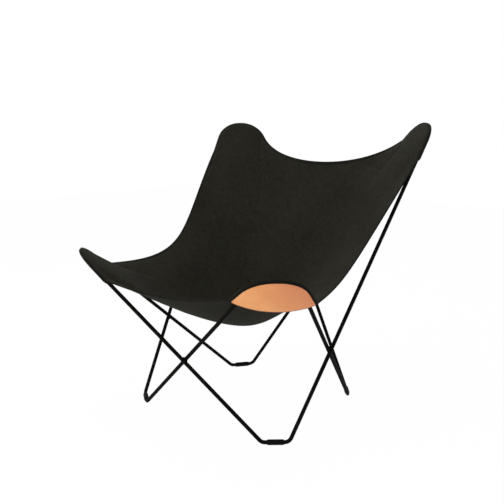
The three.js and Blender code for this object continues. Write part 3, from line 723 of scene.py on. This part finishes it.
def edge_tape_section(lift):
    """Outline of a tape folded over an edge, as (in from the edge, away): top, nose, underside."""
    reach, skin = TAPE_REACH, TAPE_THICKNESS
    top = lift + skin
    over = [
        (reach, lift),
        (reach + TAPE_EDGE_BULGE * skin, lift + skin / 2),
        (reach - TAPE_EDGE_SLOPE * skin, top),
    ]
    over += [(share * reach, top) for share in TAPE_SHARES]
    under = [(run, -height) for run, height in over]
    nose = [(-top * math.cos(turn), top * math.sin(turn)) for turn in nose_turns()]
    lining = [(0.0, -lift), (0.0, lift)]
    return np.array(over + nose + under[::-1] + lining)


def tape_piece(name, sections, finish, node):
    """A strip of tape from like sections, closed at both ends."""
    faces = tube_faces(*sections.shape[:2])
    piece = add_piece(name, sections.reshape(-1, 3), faces, finish, [node])
    piece.data.set_sharp_from_angle(angle=TAPE_CREASE_ANGLE)
    return piece


def stitching(name, lines, finish):
    """Thread stitches along lines of points, each given with the direction away from the cloth."""
    turn = np.linspace(0, 2 * math.pi, THREAD_SIDES, endpoint=False)
    tube = tube_faces(len(STITCH_STATIONS), THREAD_SIDES)
    points, faces = [], []
    for line, away in lines:
        walked = lengths_along(line)
        spots = np.arange(STITCH_PITCH, walked[-1] - STITCH_PITCH / 2, STITCH_PITCH)
        centre = read_along(line, walked, spots)
        before = read_along(line, walked, spots - STITCH_LENGTH / 2)
        ahead = unit(read_along(line, walked, spots + STITCH_LENGTH / 2) - before)
        lift = unit(read_along(away, walked, spots))
        across = np.cross(lift, ahead)
        for c, a, u, s in zip(centre, ahead, lift, across):
            base = len(points)
            ring = np.outer(np.cos(turn), s) + np.outer(np.sin(turn), u)
            for share, height, girth in STITCH_STATIONS:
                middle = c + a * share * STITCH_LENGTH + u * height * THREAD_RADIUS
                points.extend(middle + ring * girth * THREAD_RADIUS)
            faces += [tuple(base + k for k in face) for face in tube]
    return add_piece(name, points, faces, finish)


def pocket_tape(place, pocket, finish):
    """Tape over the seam of canvas and leather round a pocket, and its stitching."""
    places, outward, flare, _ = pocket_stations(pocket, TAPE_STEP)
    rows = wrap_rows(flare)
    rim = rows[0]
    slope = unit(rows[2] - rim)
    square = np.stack([slope[:, 1], -slope[:, 0]], 1)
    upper = CANVAS_THICKNESS / 2 + TAPE_GAP
    lower = LEATHER_THICKNESS / 2 + TAPE_GAP
    skin, reach = TAPE_THICKNESS, POCKET_TAPE_REACH

    def on_side(run, lift, side):
        return (rim + slope * run + square * lift) * (1, side)

    steps = [(reach, 0), (reach, skin)]
    steps += [(reach * share, skin) for share in POCKET_TAPE_SHARES]
    steps.append((0, skin))
    over = [on_side(run, upper + rise, 1) for run, rise in steps]
    under = [on_side(run, lower + rise, -1) for run, rise in steps]
    top, bottom = over[-1], under[-1]
    start = np.minimum(top[:, 0], bottom[:, 0])
    nose = []
    for turn in nose_turns():
        out = start + (rim[:, 0] + TAPE_NOSE - start) * math.cos(turn)
        away = (top[:, 1] if turn > 0 else -bottom[:, 1]) * math.sin(turn)
        nose.append(np.stack([out, away], 1))
    lining = [np.stack([rim[:, 0] - TAPE_GAP, side[:, 1] / 2], 1) for side in (bottom, top)]
    outline = over + nose + under[::-1] + lining
    sections = np.stack([on_pocket(pocket, places, outward, pair) for pair in outline], axis=1)
    tape = tape_piece(f"pocket_tape_{place}", sections, finish["tape"], f"pocket_binding_{place}")
    lines = []
    for side, lift in ((1, upper), (-1, lower)):
        line = on_pocket(pocket, places, outward, on_side(reach - STITCH_INSET, lift + skin, side))
        up = outward * square[:, :1] + pocket["normal"] * square[:, 1:] * side
        lines.append((line, up))
    return tape, stitching(f"pocket_stitching_{place}", lines, finish["thread"])


# Sling

def free_edge(start, end, middle, bows, step):
    """Points at even steps along an edge between two mouths, bowed through its middle point."""
    first, last = bows
    # At its middle a cubic curve weighs each end once and each handle three times, out of eight
    control = (8 * middle - start * (4 - 3 * first) - end * (4 - 3 * last)) / (3 * (first + last))
    handles = start + (control - start) * first, end + (control - end) * last
    t = np.linspace(0, 1, FREE_EDGE_SAMPLES)[:, None]
    fine = (start * (1 - t) ** 3 + 3 * handles[0] * t * (1 - t) ** 2
            + 3 * handles[1] * t * t * (1 - t) + end * t ** 3)
    walked = lengths_along(fine)
    length = walked[-1]
    spots = np.linspace(MOUTH_SPACE, length - MOUTH_SPACE, round(length / step))
    points = read_along(fine, walked, spots)
    shares = spots / length
    knots = np.arange(1, COARSE_EDGE_STEPS) / COARSE_EDGE_STEPS
    known = np.concatenate([[shares[0]], knots, [shares[-1]]])
    return points, np.interp(shares, known, np.arange(len(known)))


def sling_columns(pockets, edges):
    """Held points round the sling: pocket rows over the rod, then the free edge after each."""
    row_count = len(HEM_RINGS)
    held, masks, columns, edge_spans = [], [], [], []
    start = 0
    per_pocket = COARSE_ARC_STEPS + 3
    for k, pocket in enumerate(pockets):
        places, outward, flare, numbers = pocket_stations(pocket, COLUMN_STEP)
        covered = on_pocket(pocket, places, outward, wrap_rows(flare))
        following = pockets[(k + 1) % len(pockets)]
        place, out, flare = pocket_station(following, following["mouths"][0])
        mouths = [covered[:, -1], on_pocket(following, place, out, wrap_rows(flare)[:, 0])]
        points, spots = free_edge(mouths[0][0], mouths[1][0], *edges[k], COLUMN_STEP)
        free = np.zeros((row_count, len(points), 3))
        free[0] = points
        mask = np.zeros((row_count, len(points)), bool)
        mask[0] = True
        for column, mouth in ((0, mouths[0]), (-1, mouths[1])):
            free[:, column] = mouth + points[column] - mouth[0]
            mask[:, column] = True
        edge_spans.append((sum(h.shape[1] for h in held) + covered.shape[1], len(points)))
        held += [covered, free]
        masks += [np.ones(covered.shape[:2], bool), mask]
        columns += [start + numbers, start + per_pocket + spots]
        start += per_pocket + COARSE_EDGE_STEPS + 1
    return np.concatenate(held, 1), np.concatenate(masks, 1), np.concatenate(columns), start, edge_spans


def settle(pulled, diagonal, loads):
    """Solves a net of springs for several loads at once, by conjugate gradients."""
    values = np.zeros_like(loads)
    rest = loads.copy()
    step = rest / diagonal
    square = (rest * step).sum(0)
    start = square.copy()
    for _ in range(NET_ROUNDS):
        pull = pulled(step)
        size = square / np.maximum((step * pull).sum(0), SMALLEST)
        values += size * step
        rest -= size * pull
        eased = rest / diagonal
        following = (rest * eased).sum(0)
        if np.all(following < NET_ACCURACY ** 2 * start):
            break
        step = eased + following / np.maximum(square, SMALLEST) * step
        square = following
    return values


def hang_sling(held, mask, columns, column_count):
    """Rings of the hanging canvas and its centre: a net loaded evenly down to the seat height."""
    hem = np.array(HEM_RINGS, float)
    inner_rings = np.arange(hem[-1] + NET_RING_STEP, COARSE_RINGS - NET_RING_STEP / 2, NET_RING_STEP)
    rings = np.concatenate([hem, inner_rings])
    count, wide = len(rings), held.shape[1]
    gaps = np.diff(np.append(rings, COARSE_RINGS))
    spans = np.diff(np.append(columns, column_count))
    share = (spans + np.roll(spans, 1)) / 2
    radial = np.where(rings < hem[-1], EDGE_RING_PULL, 1)[:, None] / gaps[:, None] * share[None, :]
    breadth = (gaps + np.append(gaps[0], gaps[:-1])) / 2
    hoops = HOOP_PULL * (rings / COARSE_RINGS) ** 2 * breadth
    hoops = hoops[:, None] / spans[None, :]
    fixed = np.zeros((count, wide), bool)
    fixed[:len(hem)] = mask
    free = np.append(~fixed.reshape(-1), True)[:, None]

    def pull_of(values):
        grid, centre = values[:-1].reshape(count, wide, -1), values[-1]
        inner = np.concatenate([grid[1:], np.broadcast_to(centre, (1, wide, grid.shape[2]))])
        along = radial[..., None] * (grid - inner)
        round_it = hoops[..., None] * (grid - np.roll(grid, -1, 1))
        total = along + round_it - np.roll(round_it, 1, 1)
        total[1:] -= along[:-1]
        return np.concatenate([total.reshape(count * wide, -1), -along[-1].sum(0)[None]]) * free

    diagonal = radial + hoops + np.roll(hoops, 1, 1)
    diagonal[1:] += radial[:-1]
    diagonal = np.append(diagonal.reshape(-1), radial[-1].sum())[:, None]
    known = np.zeros((count, wide, 3))
    known[:len(hem)] = held * mask[..., None]
    known = np.vstack([known.reshape(-1, 3), np.zeros((1, 3))])
    weight = np.append((breadth[:, None] * share[None, :]).reshape(-1), gaps[-1])[:, None] * free
    solved = settle(pull_of, diagonal, np.hstack([-pull_of(known), weight]))
    place, give = known + solved[:, :3], solved[:, 3]
    load = bisected(0, MOST_LOAD, lambda w: np.min(place[:, 2] - w * give) > SEAT_HEIGHT)
    place[:, 2] -= load * give
    return rings, place[:-1].reshape(count, wide, 3), place[-1]


def ease_hem(rings, grid, mask):
    """Sets the hem at tape widths from the free edge, its lean and width eased along the edge."""
    free = ~mask[1][:, None]

    def eased(values):
        return np.where(free, (2 * values + np.roll(values, 1, 0) + np.roll(values, -1, 0)) / 4, values)

    for r in range(1, len(HEM_RINGS)):
        across = grid[r] - grid[0]
        width = np.linalg.norm(across, axis=1, keepdims=True)
        lean = across / width
        width = np.where(free, rings[r] * TAPE_REACH, width)
        for _ in range(HEM_EASE_ROUNDS):
            lean = unit(eased(lean))
            width = eased(width)
        grid[r] = np.where(free, grid[0] + lean * width, grid[r])
    first = len(HEM_RINGS)
    last = first + HEM_BLEND_RINGS
    for _ in range(HEM_BLEND_ROUNDS):
        beside = grid[first - 1:last - 1] + grid[first + 1:last + 1]
        grid[first:last] = (2 * grid[first:last] + beside) / 4
    return grid


def sheet_normals(grid, centre):
    along = np.roll(grid, -1, 1) - np.roll(grid, 1, 1)
    inner = np.concatenate([grid[1:], np.broadcast_to(centre, (1, *grid.shape[1:]))])
    outer = np.concatenate([grid[:1], grid[:-1]])
    return unit(np.cross(along, inner - outer))


def canvas_sheet(name, grid, centre, normals, finish):
    rows, wide = grid.shape[:2]
    middle = np.vstack([grid.reshape(-1, 3), centre])
    hub_normal = unit(normals[-1].sum(0))
    faces = grid_faces(rows, wide, close_columns=True)
    last = (rows - 1) * wide
    faces += [(last + i, last + (i + 1) % wide, len(middle) - 1) for i in range(wide)]
    all_normals = np.vstack([normals.reshape(-1, 3), hub_normal])
    points, faces = thickened(middle, all_normals, faces, list(range(wide)), CANVAS_THICKNESS)
    return add_piece(name, points, faces, finish, ["sling_body"])


def edge_tape(place, grid, normals, span, finish):
    """Tape folded over one free edge of the canvas, and its stitching."""
    first, count = span
    columns = np.arange(first, first + count)
    edge = grid[0, columns]
    inward = unit(grid[2, columns] - edge)
    away = unit(normals[0, columns] + normals[1, columns] + normals[2, columns])
    away = unit(away - inward * np.sum(away * inward, axis=1, keepdims=True))
    lift = CANVAS_THICKNESS / 2 + TAPE_GAP
    section = edge_tape_section(lift)[None]
    sections = edge[:, None] + inward[:, None] * section[..., :1] + away[:, None] * section[..., 1:]
    tape = tape_piece(f"edge_tape_{place}", sections, finish["tape"], f"edge_binding_{place}")
    lines = []
    for side in (1, -1):
        up = away * side
        lines.append((edge + inward * (TAPE_REACH - STITCH_INSET) + up * (lift + TAPE_THICKNESS), up))
    return tape, stitching(f"edge_stitching_{place}", lines, finish["thread"])


# Finishes

class Nodes:
    """Shorthand for building one node tree."""

    def __init__(self, tree):
        self.tree = tree

    def add(self, kind, inputs=None, **settings):
        made = self.tree.nodes.new(kind)
        for key, value in settings.items():
            setattr(made, key, value)
        for key, value in (inputs or {}).items():
            self.set(made.inputs[key], value)
        return made

    def set(self, socket, value):
        if isinstance(value, bpy.types.NodeSocket):
            self.tree.links.new(value, socket)
        else:
            socket.default_value = value

    def math(self, operation, *values):
        made = self.add("ShaderNodeMath", operation=operation)
        for socket, value in zip(made.inputs, values):
            self.set(socket, value)
        return made.outputs[0]

    def weighted(self, *parts):
        """The sum of values, each times its weight."""
        total, *others = [self.math("MULTIPLY", value, weight) for value, weight in parts]
        for other in others:
            total = self.math("ADD", total, other)
        return total

    def mix_colour(self, share, first, second):
        made = self.add("ShaderNodeMix", data_type="RGBA")
        for socket, value in zip(MIX_INPUTS, (share, first, second)):
            self.set(made.inputs[socket], value)
        return made.outputs[MIX_OUTPUT]

    def noise(self, vector, scale, detail, rough):
        made = self.add("ShaderNodeTexNoise", {"Vector": vector, "Scale": scale, "Detail": detail,
                                               "Roughness": rough})
        return made.outputs["Fac"]

    def spread(self, value, low, high, new_low=0.0, new_high=1.0):
        made = self.add("ShaderNodeMapRange", {"Value": value, "From Min": low, "From Max": high,
                                               "To Min": new_low, "To Max": new_high})
        return made.outputs[0]


def new_group(name, inputs):
    """An empty shader group with the given inputs, which puts out colour, height and roughness."""
    group = bpy.data.node_groups.new(name, "ShaderNodeTree")
    outputs = {"Color": "NodeSocketColor", "Height": "NodeSocketFloat", "Roughness": "NodeSocketFloat"}
    for way, sockets in (("INPUT", inputs), ("OUTPUT", outputs)):
        for socket, kind in sockets.items():
            group.interface.new_socket(socket, in_out=way, socket_type=kind)
    nodes = Nodes(group)
    given = nodes.add("NodeGroupInput").outputs
    result = nodes.add("NodeGroupOutput").inputs
    return group, nodes, given, result


def woven_group():
    """Plain weave: threads over and under, slubs along warp and weft, and broad fading."""
    group, n, given, result = new_group("woven cloth", {
        "Dark": "NodeSocketColor", "Light": "NodeSocketColor", "Thread pitch": "NodeSocketFloat",
    })
    place = n.add("ShaderNodeTexCoord").outputs["Object"]
    parts = n.add("ShaderNodeSeparateXYZ", {"Vector": place}).outputs
    along = n.math("ADD", parts["Y"], n.math("MULTIPLY", parts["Z"], HEIGHT_SHARE))
    per_pitch = n.math("DIVIDE", math.pi, given["Thread pitch"])
    warp = n.math("SINE", n.math("MULTIPLY", parts["X"], per_pitch))
    weft = n.math("SINE", n.math("MULTIPLY", along, per_pitch))
    weave = n.math("MULTIPLY", warp, weft)

    def slubs_over(wide, long):
        spots = n.add("ShaderNodeCombineXYZ", {"X": n.math("MULTIPLY", parts["X"], wide),
                                               "Y": n.math("MULTIPLY", along, long)})
        return n.noise(spots.outputs[0], *SLUB_NOISE)

    warp_slubs = slubs_over(SLUBS_ACROSS, SLUBS_ALONG)
    weft_slubs = slubs_over(SLUBS_ALONG, SLUBS_ACROSS)
    slubs = n.weighted((warp_slubs, WARP_SHARE), (weft_slubs, 1 - WARP_SHARE))
    fading = n.noise(place, *FADING_NOISE)
    grain = n.noise(place, *THREAD_NOISE)
    tone = n.weighted((n.spread(slubs, *SLUB_RANGE), SLUB_TONE),
                      (n.spread(fading, *NOISE_RANGE), FADING_TONE),
                      (n.spread(grain, *NOISE_RANGE), GRAIN_TONE))
    bumps = n.weighted((weave, WEAVE_BUMP), (slubs, SLUB_BUMP), (grain, GRAIN_BUMP))
    n.set(result["Color"], n.mix_colour(tone, given["Dark"], given["Light"]))
    n.set(result["Height"], bumps)
    n.set(result["Roughness"], n.spread(slubs, *SLUB_ROUGHNESS_RANGE, *CLOTH_ROUGHNESS))
    return group


def coated_group():
    """Baked coating: a fine orange peel, a little dust and slightly uneven gloss."""
    group, n, given, result = new_group("coating", {
        "Coat": "NodeSocketColor", "Dust": "NodeSocketColor",
        "Gloss low": "NodeSocketFloat", "Gloss high": "NodeSocketFloat",
    })
    place = n.add("ShaderNodeTexCoord").outputs["Object"]
    peel = n.noise(place, *PEEL_NOISE)
    patches = n.noise(place, *PATCH_NOISE)
    specks = n.noise(place, *SPECK_NOISE)
    dusty = n.spread(patches, *PATCH_RANGE, *DUST_SHARE)
    dust = n.math("MULTIPLY", n.spread(specks, *SPECK_RANGE), dusty)
    gloss = n.spread(patches, *NOISE_RANGE, given["Gloss low"], given["Gloss high"])
    n.set(result["Color"], n.mix_colour(dust, given["Coat"], given["Dust"]))
    n.set(result["Height"], peel)
    n.set(result["Roughness"], gloss)
    return group


def new_finish(name):
    """A new material, the helper for its nodes, and its Principled shader."""
    material = bpy.data.materials.new(name)
    material.use_nodes = True
    tree = material.node_tree
    shader = next(x for x in tree.nodes if x.type == "BSDF_PRINCIPLED")
    return material, Nodes(tree), shader


def bump_of(n, height, depth, strength):
    """The surface's direction as bumps of the given height turn it."""
    made = n.add("ShaderNodeBump", {"Height": height, "Distance": depth, "Strength": strength})
    return made.outputs["Normal"]


def grouped_finish(name, group, values, bump, shader_values):
    """A finish whose colour, roughness and bumps come from one of the groups."""
    material, n, shader = new_finish(name)
    surface = n.add("ShaderNodeGroup", values, node_tree=group).outputs
    n.set(shader.inputs["Base Color"], surface["Color"])
    n.set(shader.inputs["Roughness"], surface["Roughness"])
    n.set(shader.inputs["Normal"], bump_of(n, surface["Height"], *bump))
    for key, value in shader_values.items():
        shader.inputs[key].default_value = value
    return material


def leather_finish():
    """Natural tanned leather: pores, soft mottling, painted shade that darkens it towards the sides, and a
    dark band along its lower edge.
    """
    material, n, shader = new_finish("tanned leather")
    place = n.add("ShaderNodeTexCoord").outputs["Object"]
    mottle = n.noise(place, *MOTTLE_NOISE)
    pores = n.add("ShaderNodeTexVoronoi", {"Vector": place, "Scale": PORE_SCALE}).outputs["Distance"]
    grain = n.noise(place, *HIDE_NOISE)
    sideways = n.math("ABSOLUTE", n.add("ShaderNodeSeparateXYZ", {"Vector": place}).outputs["X"])
    to_edge = n.add("ShaderNodeAttribute", attribute_name="lower_edge_distance").outputs["Fac"]
    # The colour turns dark near the lower edge of each panel
    edge_dark = n.spread(to_edge, *LOWER_EDGE_DARK_RANGE, LOWER_EDGE_DARK_SHARE, 0.0)
    hide = n.mix_colour(n.spread(mottle, *NOISE_RANGE), HIDE_DEEP, HIDE_PALE)
    # Painted shade: the tan darkens with distance from the chair's middle
    hide = n.mix_colour(n.spread(sideways, *PAINTED_SHADE_RANGE), hide, PAINTED_SHADE_TAN)
    hide = n.mix_colour(n.spread(grain, *HIDE_GRAIN_RANGE, 0.0, HIDE_GRAIN_SHARE), hide, HIDE_GRAIN)
    n.set(shader.inputs["Base Color"], n.mix_colour(edge_dark, hide, LOWER_EDGE_DARK))
    n.set(shader.inputs["Roughness"], n.spread(grain, *NOISE_RANGE, *LEATHER_ROUGHNESS))
    height = n.math("ADD", n.math("MULTIPLY", pores, PORE_BUMP), grain)
    n.set(shader.inputs["Normal"], bump_of(n, height, *LEATHER_BUMP))
    shader.inputs["Specular IOR Level"].default_value = LEATHER_SPECULAR
    return material


def all_finishes():
    groups = {"woven": woven_group(), "coated": coated_group()}
    made = {}
    for key, (name, group, values, bump, shader_values) in FINISHES.items():
        made[key] = grouped_finish(name, groups[group], values, bump, shader_values)
    made["leather"] = leather_finish()
    return made


# Studio

def seen_plainly(n):
    """1 for rays that come from the camera or from a mirror or glass, otherwise 0."""
    path = n.add("ShaderNodeLightPath").outputs
    mirrored = n.math("MAXIMUM", path["Is Glossy Ray"], path["Is Transmission Ray"])
    return n.math("MAXIMUM", path["Is Camera Ray"], mirrored)


def white_air():
    """White surroundings that light the chair less than they show."""
    world = bpy.data.worlds.new("studio air")
    bpy.context.scene.world = world
    world.use_nodes = True
    n = Nodes(world.node_tree)
    air = next(x for x in world.node_tree.nodes if x.type == "BACKGROUND")
    air.inputs["Color"].default_value = WHITE
    n.set(air.inputs["Strength"], n.spread(seen_plainly(n), 0, 1, AIR_LIGHT, 1))


def pale_floor():
    """A wide floor that shows almost white and keeps a faint shadow."""
    mesh = bpy.data.meshes.new("studio_floor")
    corners = [(x * FLOOR_HALF, y * FLOOR_HALF, 0) for x, y in ((-1, -1), (1, -1), (1, 1), (-1, 1))]
    mesh.from_pydata(corners, [], [(0, 1, 2, 3)])
    floor = bpy.data.objects.new("studio_floor", mesh)
    bpy.context.scene.collection.objects.link(floor)
    paint, n, shader = new_finish("pale floor")
    shader.inputs["Base Color"].default_value = FLOOR_PAINT
    shader.inputs["Roughness"].default_value = FLOOR_ROUGHNESS
    shader.inputs["Specular IOR Level"].default_value = FLOOR_SPECULAR
    glow = n.add("ShaderNodeEmission", {"Color": WHITE, "Strength": 1.0})
    blend = n.add("ShaderNodeMixShader")
    n.set(blend.inputs[0], n.math("MULTIPLY", seen_plainly(n), FLOOR_WHITE))
    n.set(blend.inputs[1], shader.outputs[0])
    n.set(blend.inputs[2], glow.outputs[0])
    output = next(x for x in paint.node_tree.nodes if x.type == "OUTPUT_MATERIAL")
    n.set(output.inputs["Surface"], blend.outputs[0])
    mesh.materials.append(paint)


def soft_lamps():
    for name, (place, size, power) in LAMPS.items():
        lamp = bpy.data.lights.new(name, "AREA")
        lamp.size = size
        lamp.energy = power
        shown = bpy.data.objects.new(name, lamp)
        bpy.context.scene.collection.objects.link(shown)
        shown.location = place
        aim = Vector(LAMP_AIM) - Vector(place)
        shown.rotation_euler = aim.to_track_quat("-Z", "Y").to_euler()


def set_camera(centre):
    camera = bpy.data.cameras.new("camera")
    camera.sensor_width = SENSOR_MILLIMETRES
    camera.lens = SENSOR_MILLIMETRES * FOCAL_PIXELS / FRAME_PIXELS
    shown = bpy.data.objects.new("camera", camera)
    bpy.context.scene.collection.objects.link(shown)
    level = math.cos(CAMERA_ELEVATION)
    sideways = math.sin(CAMERA_AZIMUTH) * level
    forwards = math.cos(CAMERA_AZIMUTH) * level
    back = Vector((sideways, -forwards, math.sin(CAMERA_ELEVATION)))
    target = Vector(centre) + Vector(CAMERA_AIM)
    shown.location = target + back * CAMERA_DISTANCE
    shown.rotation_euler = (-back).to_track_quat("-Z", "Y").to_euler()
    bpy.context.scene.camera = shown


# The chair

def shifted_loop(loop, shift):
    """A loop's corners moved into the part's frame."""
    moved = {}
    for name, corner in loop.items():
        if isinstance(corner, dict):
            places = {key: corner[key] + shift for key in ("centre", "front", "back")}
            moved[name] = {**corner, **places}
        else:
            moved[name] = corner + shift
    return moved


def placed_loops():
    """Corners of both loops in the part's frame, and how far that frame is from the sizes' own."""
    offsets = touching_offsets()
    loops = {"left": loop_corners(LEFT, offsets), "right": loop_corners(RIGHT, offsets)}
    low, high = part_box("floor_glide_front_right")
    shift = point((low + high) / 2) - loops["left"]["front_foot"]["centre"]
    shift[2] = 0
    return {key: shifted_loop(loop, shift) for key, loop in loops.items()}, shift


def build_frame(loops, bends, finish):
    """The two rods, the welds where they cross and the glides on their feet."""
    for side in ("left", "right"):
        rod_loop(f"coated_rod_front_{side}", bends[side], finish["rod"], f"rod_loop_front_{side}")
    for name, pair in crossings(loops["left"], loops["right"]).items():
        weld_bead(f"weld_bead_{name}", nearest(*pair), finish["weld"], f"weld_{name}")
    feet = (("front_right", "left", "front_foot"), ("front_left", "right", "front_foot"),
            ("back_left", "left", "back_foot"), ("back_right", "right", "back_foot"))
    for name, loop, foot in feet:
        ends = [bends[loop][f"{foot}_{end}"] for end in ("front", "back")]
        tangent = max(bend["radius"] / math.tan(bend["half"]) for bend in ends)
        floor_glide(f"glide_{name}", loops[loop][foot], tangent, finish["glide"], f"floor_glide_{name}")


def sling_pockets(bends):
    """The four pockets in their order round the sling, from the front right one."""
    front = (FRONT_POCKET_DEPTH - SLING_TURN, FRONT_POCKET_DEPTH + SLING_TURN)
    back = (BACK_POCKET_SIDE_DEPTH, BACK_POCKET_REAR_DEPTH)
    front_flares = (FRONT_MOUTH_FLARE, FRONT_SIDE_FLARE)
    back_right_flares = (BACK_SIDE_FLARE, BACK_RIGHT_REAR_FLARE)
    back_left_flares = (BACK_LEFT_REAR_FLARE, BACK_SIDE_FLARE)
    return {
        "front_right": pocket_at(reversed_bend(bends["right"]["front_top"]), front, front_flares),
        "back_right": pocket_at(bends["left"]["back_top"], back, back_right_flares),
        "back_left": pocket_at(reversed_bend(bends["right"]["back_top"]), back[::-1], back_left_flares),
        "front_left": pocket_at(bends["left"]["front_top"], front, front_flares[::-1]),
    }


def sling_edges(shift):
    """The free edge after each pocket, as its middle point and its two bows."""
    side = point(SIDE_EDGE_MIDDLE)
    side_bows = (SIDE_EDGE_FRONT_BOW, SIDE_EDGE_BACK_BOW)
    return {
        "right": (side + shift, side_bows),
        "back": (point(BACK_EDGE_MIDDLE) + shift, (BACK_EDGE_BOW, BACK_EDGE_BOW)),
        "left": (side * (-1, 1, 1) + shift, side_bows[::-1]),
        "front": (point(FRONT_EDGE_MIDDLE) + shift, (FRONT_EDGE_BOW, FRONT_EDGE_BOW)),
    }


def build_sling(pockets, edges, finish):
    """The canvas, and the leather, tape and stitches that are sewn to it."""
    held, mask, columns, column_count, spans = sling_columns(list(pockets.values()), list(edges.values()))
    rings, grid, centre = hang_sling(held, mask, columns, column_count)
    grid = ease_hem(rings, grid, mask)
    normals = sheet_normals(grid, centre)
    canvas = canvas_sheet("canvas_sling", grid, centre, normals, finish["canvas"])
    trim = []
    for place, pocket in pockets.items():
        trim.append(leather_panel(f"leather_{place}", pocket, finish["leather"], f"pocket_leather_{place}"))
        trim += pocket_tape(place, pocket, finish)
    for place, span in zip(edges, spans):
        trim += edge_tape(place, grid, normals, span, finish)


def build_chair():
    finish = all_finishes()
    loops, shift = placed_loops()
    bends = {key: loop_bends(loop) for key, loop in loops.items()}
    set_camera(shift)
    build_frame(loops, bends, finish)
    build_sling(sling_pockets(bends), sling_edges(shift), finish)


build_chair()
white_air()
pale_floor()
soft_lamps()
bpy.context.scene.view_settings.view_transform = "Standard"
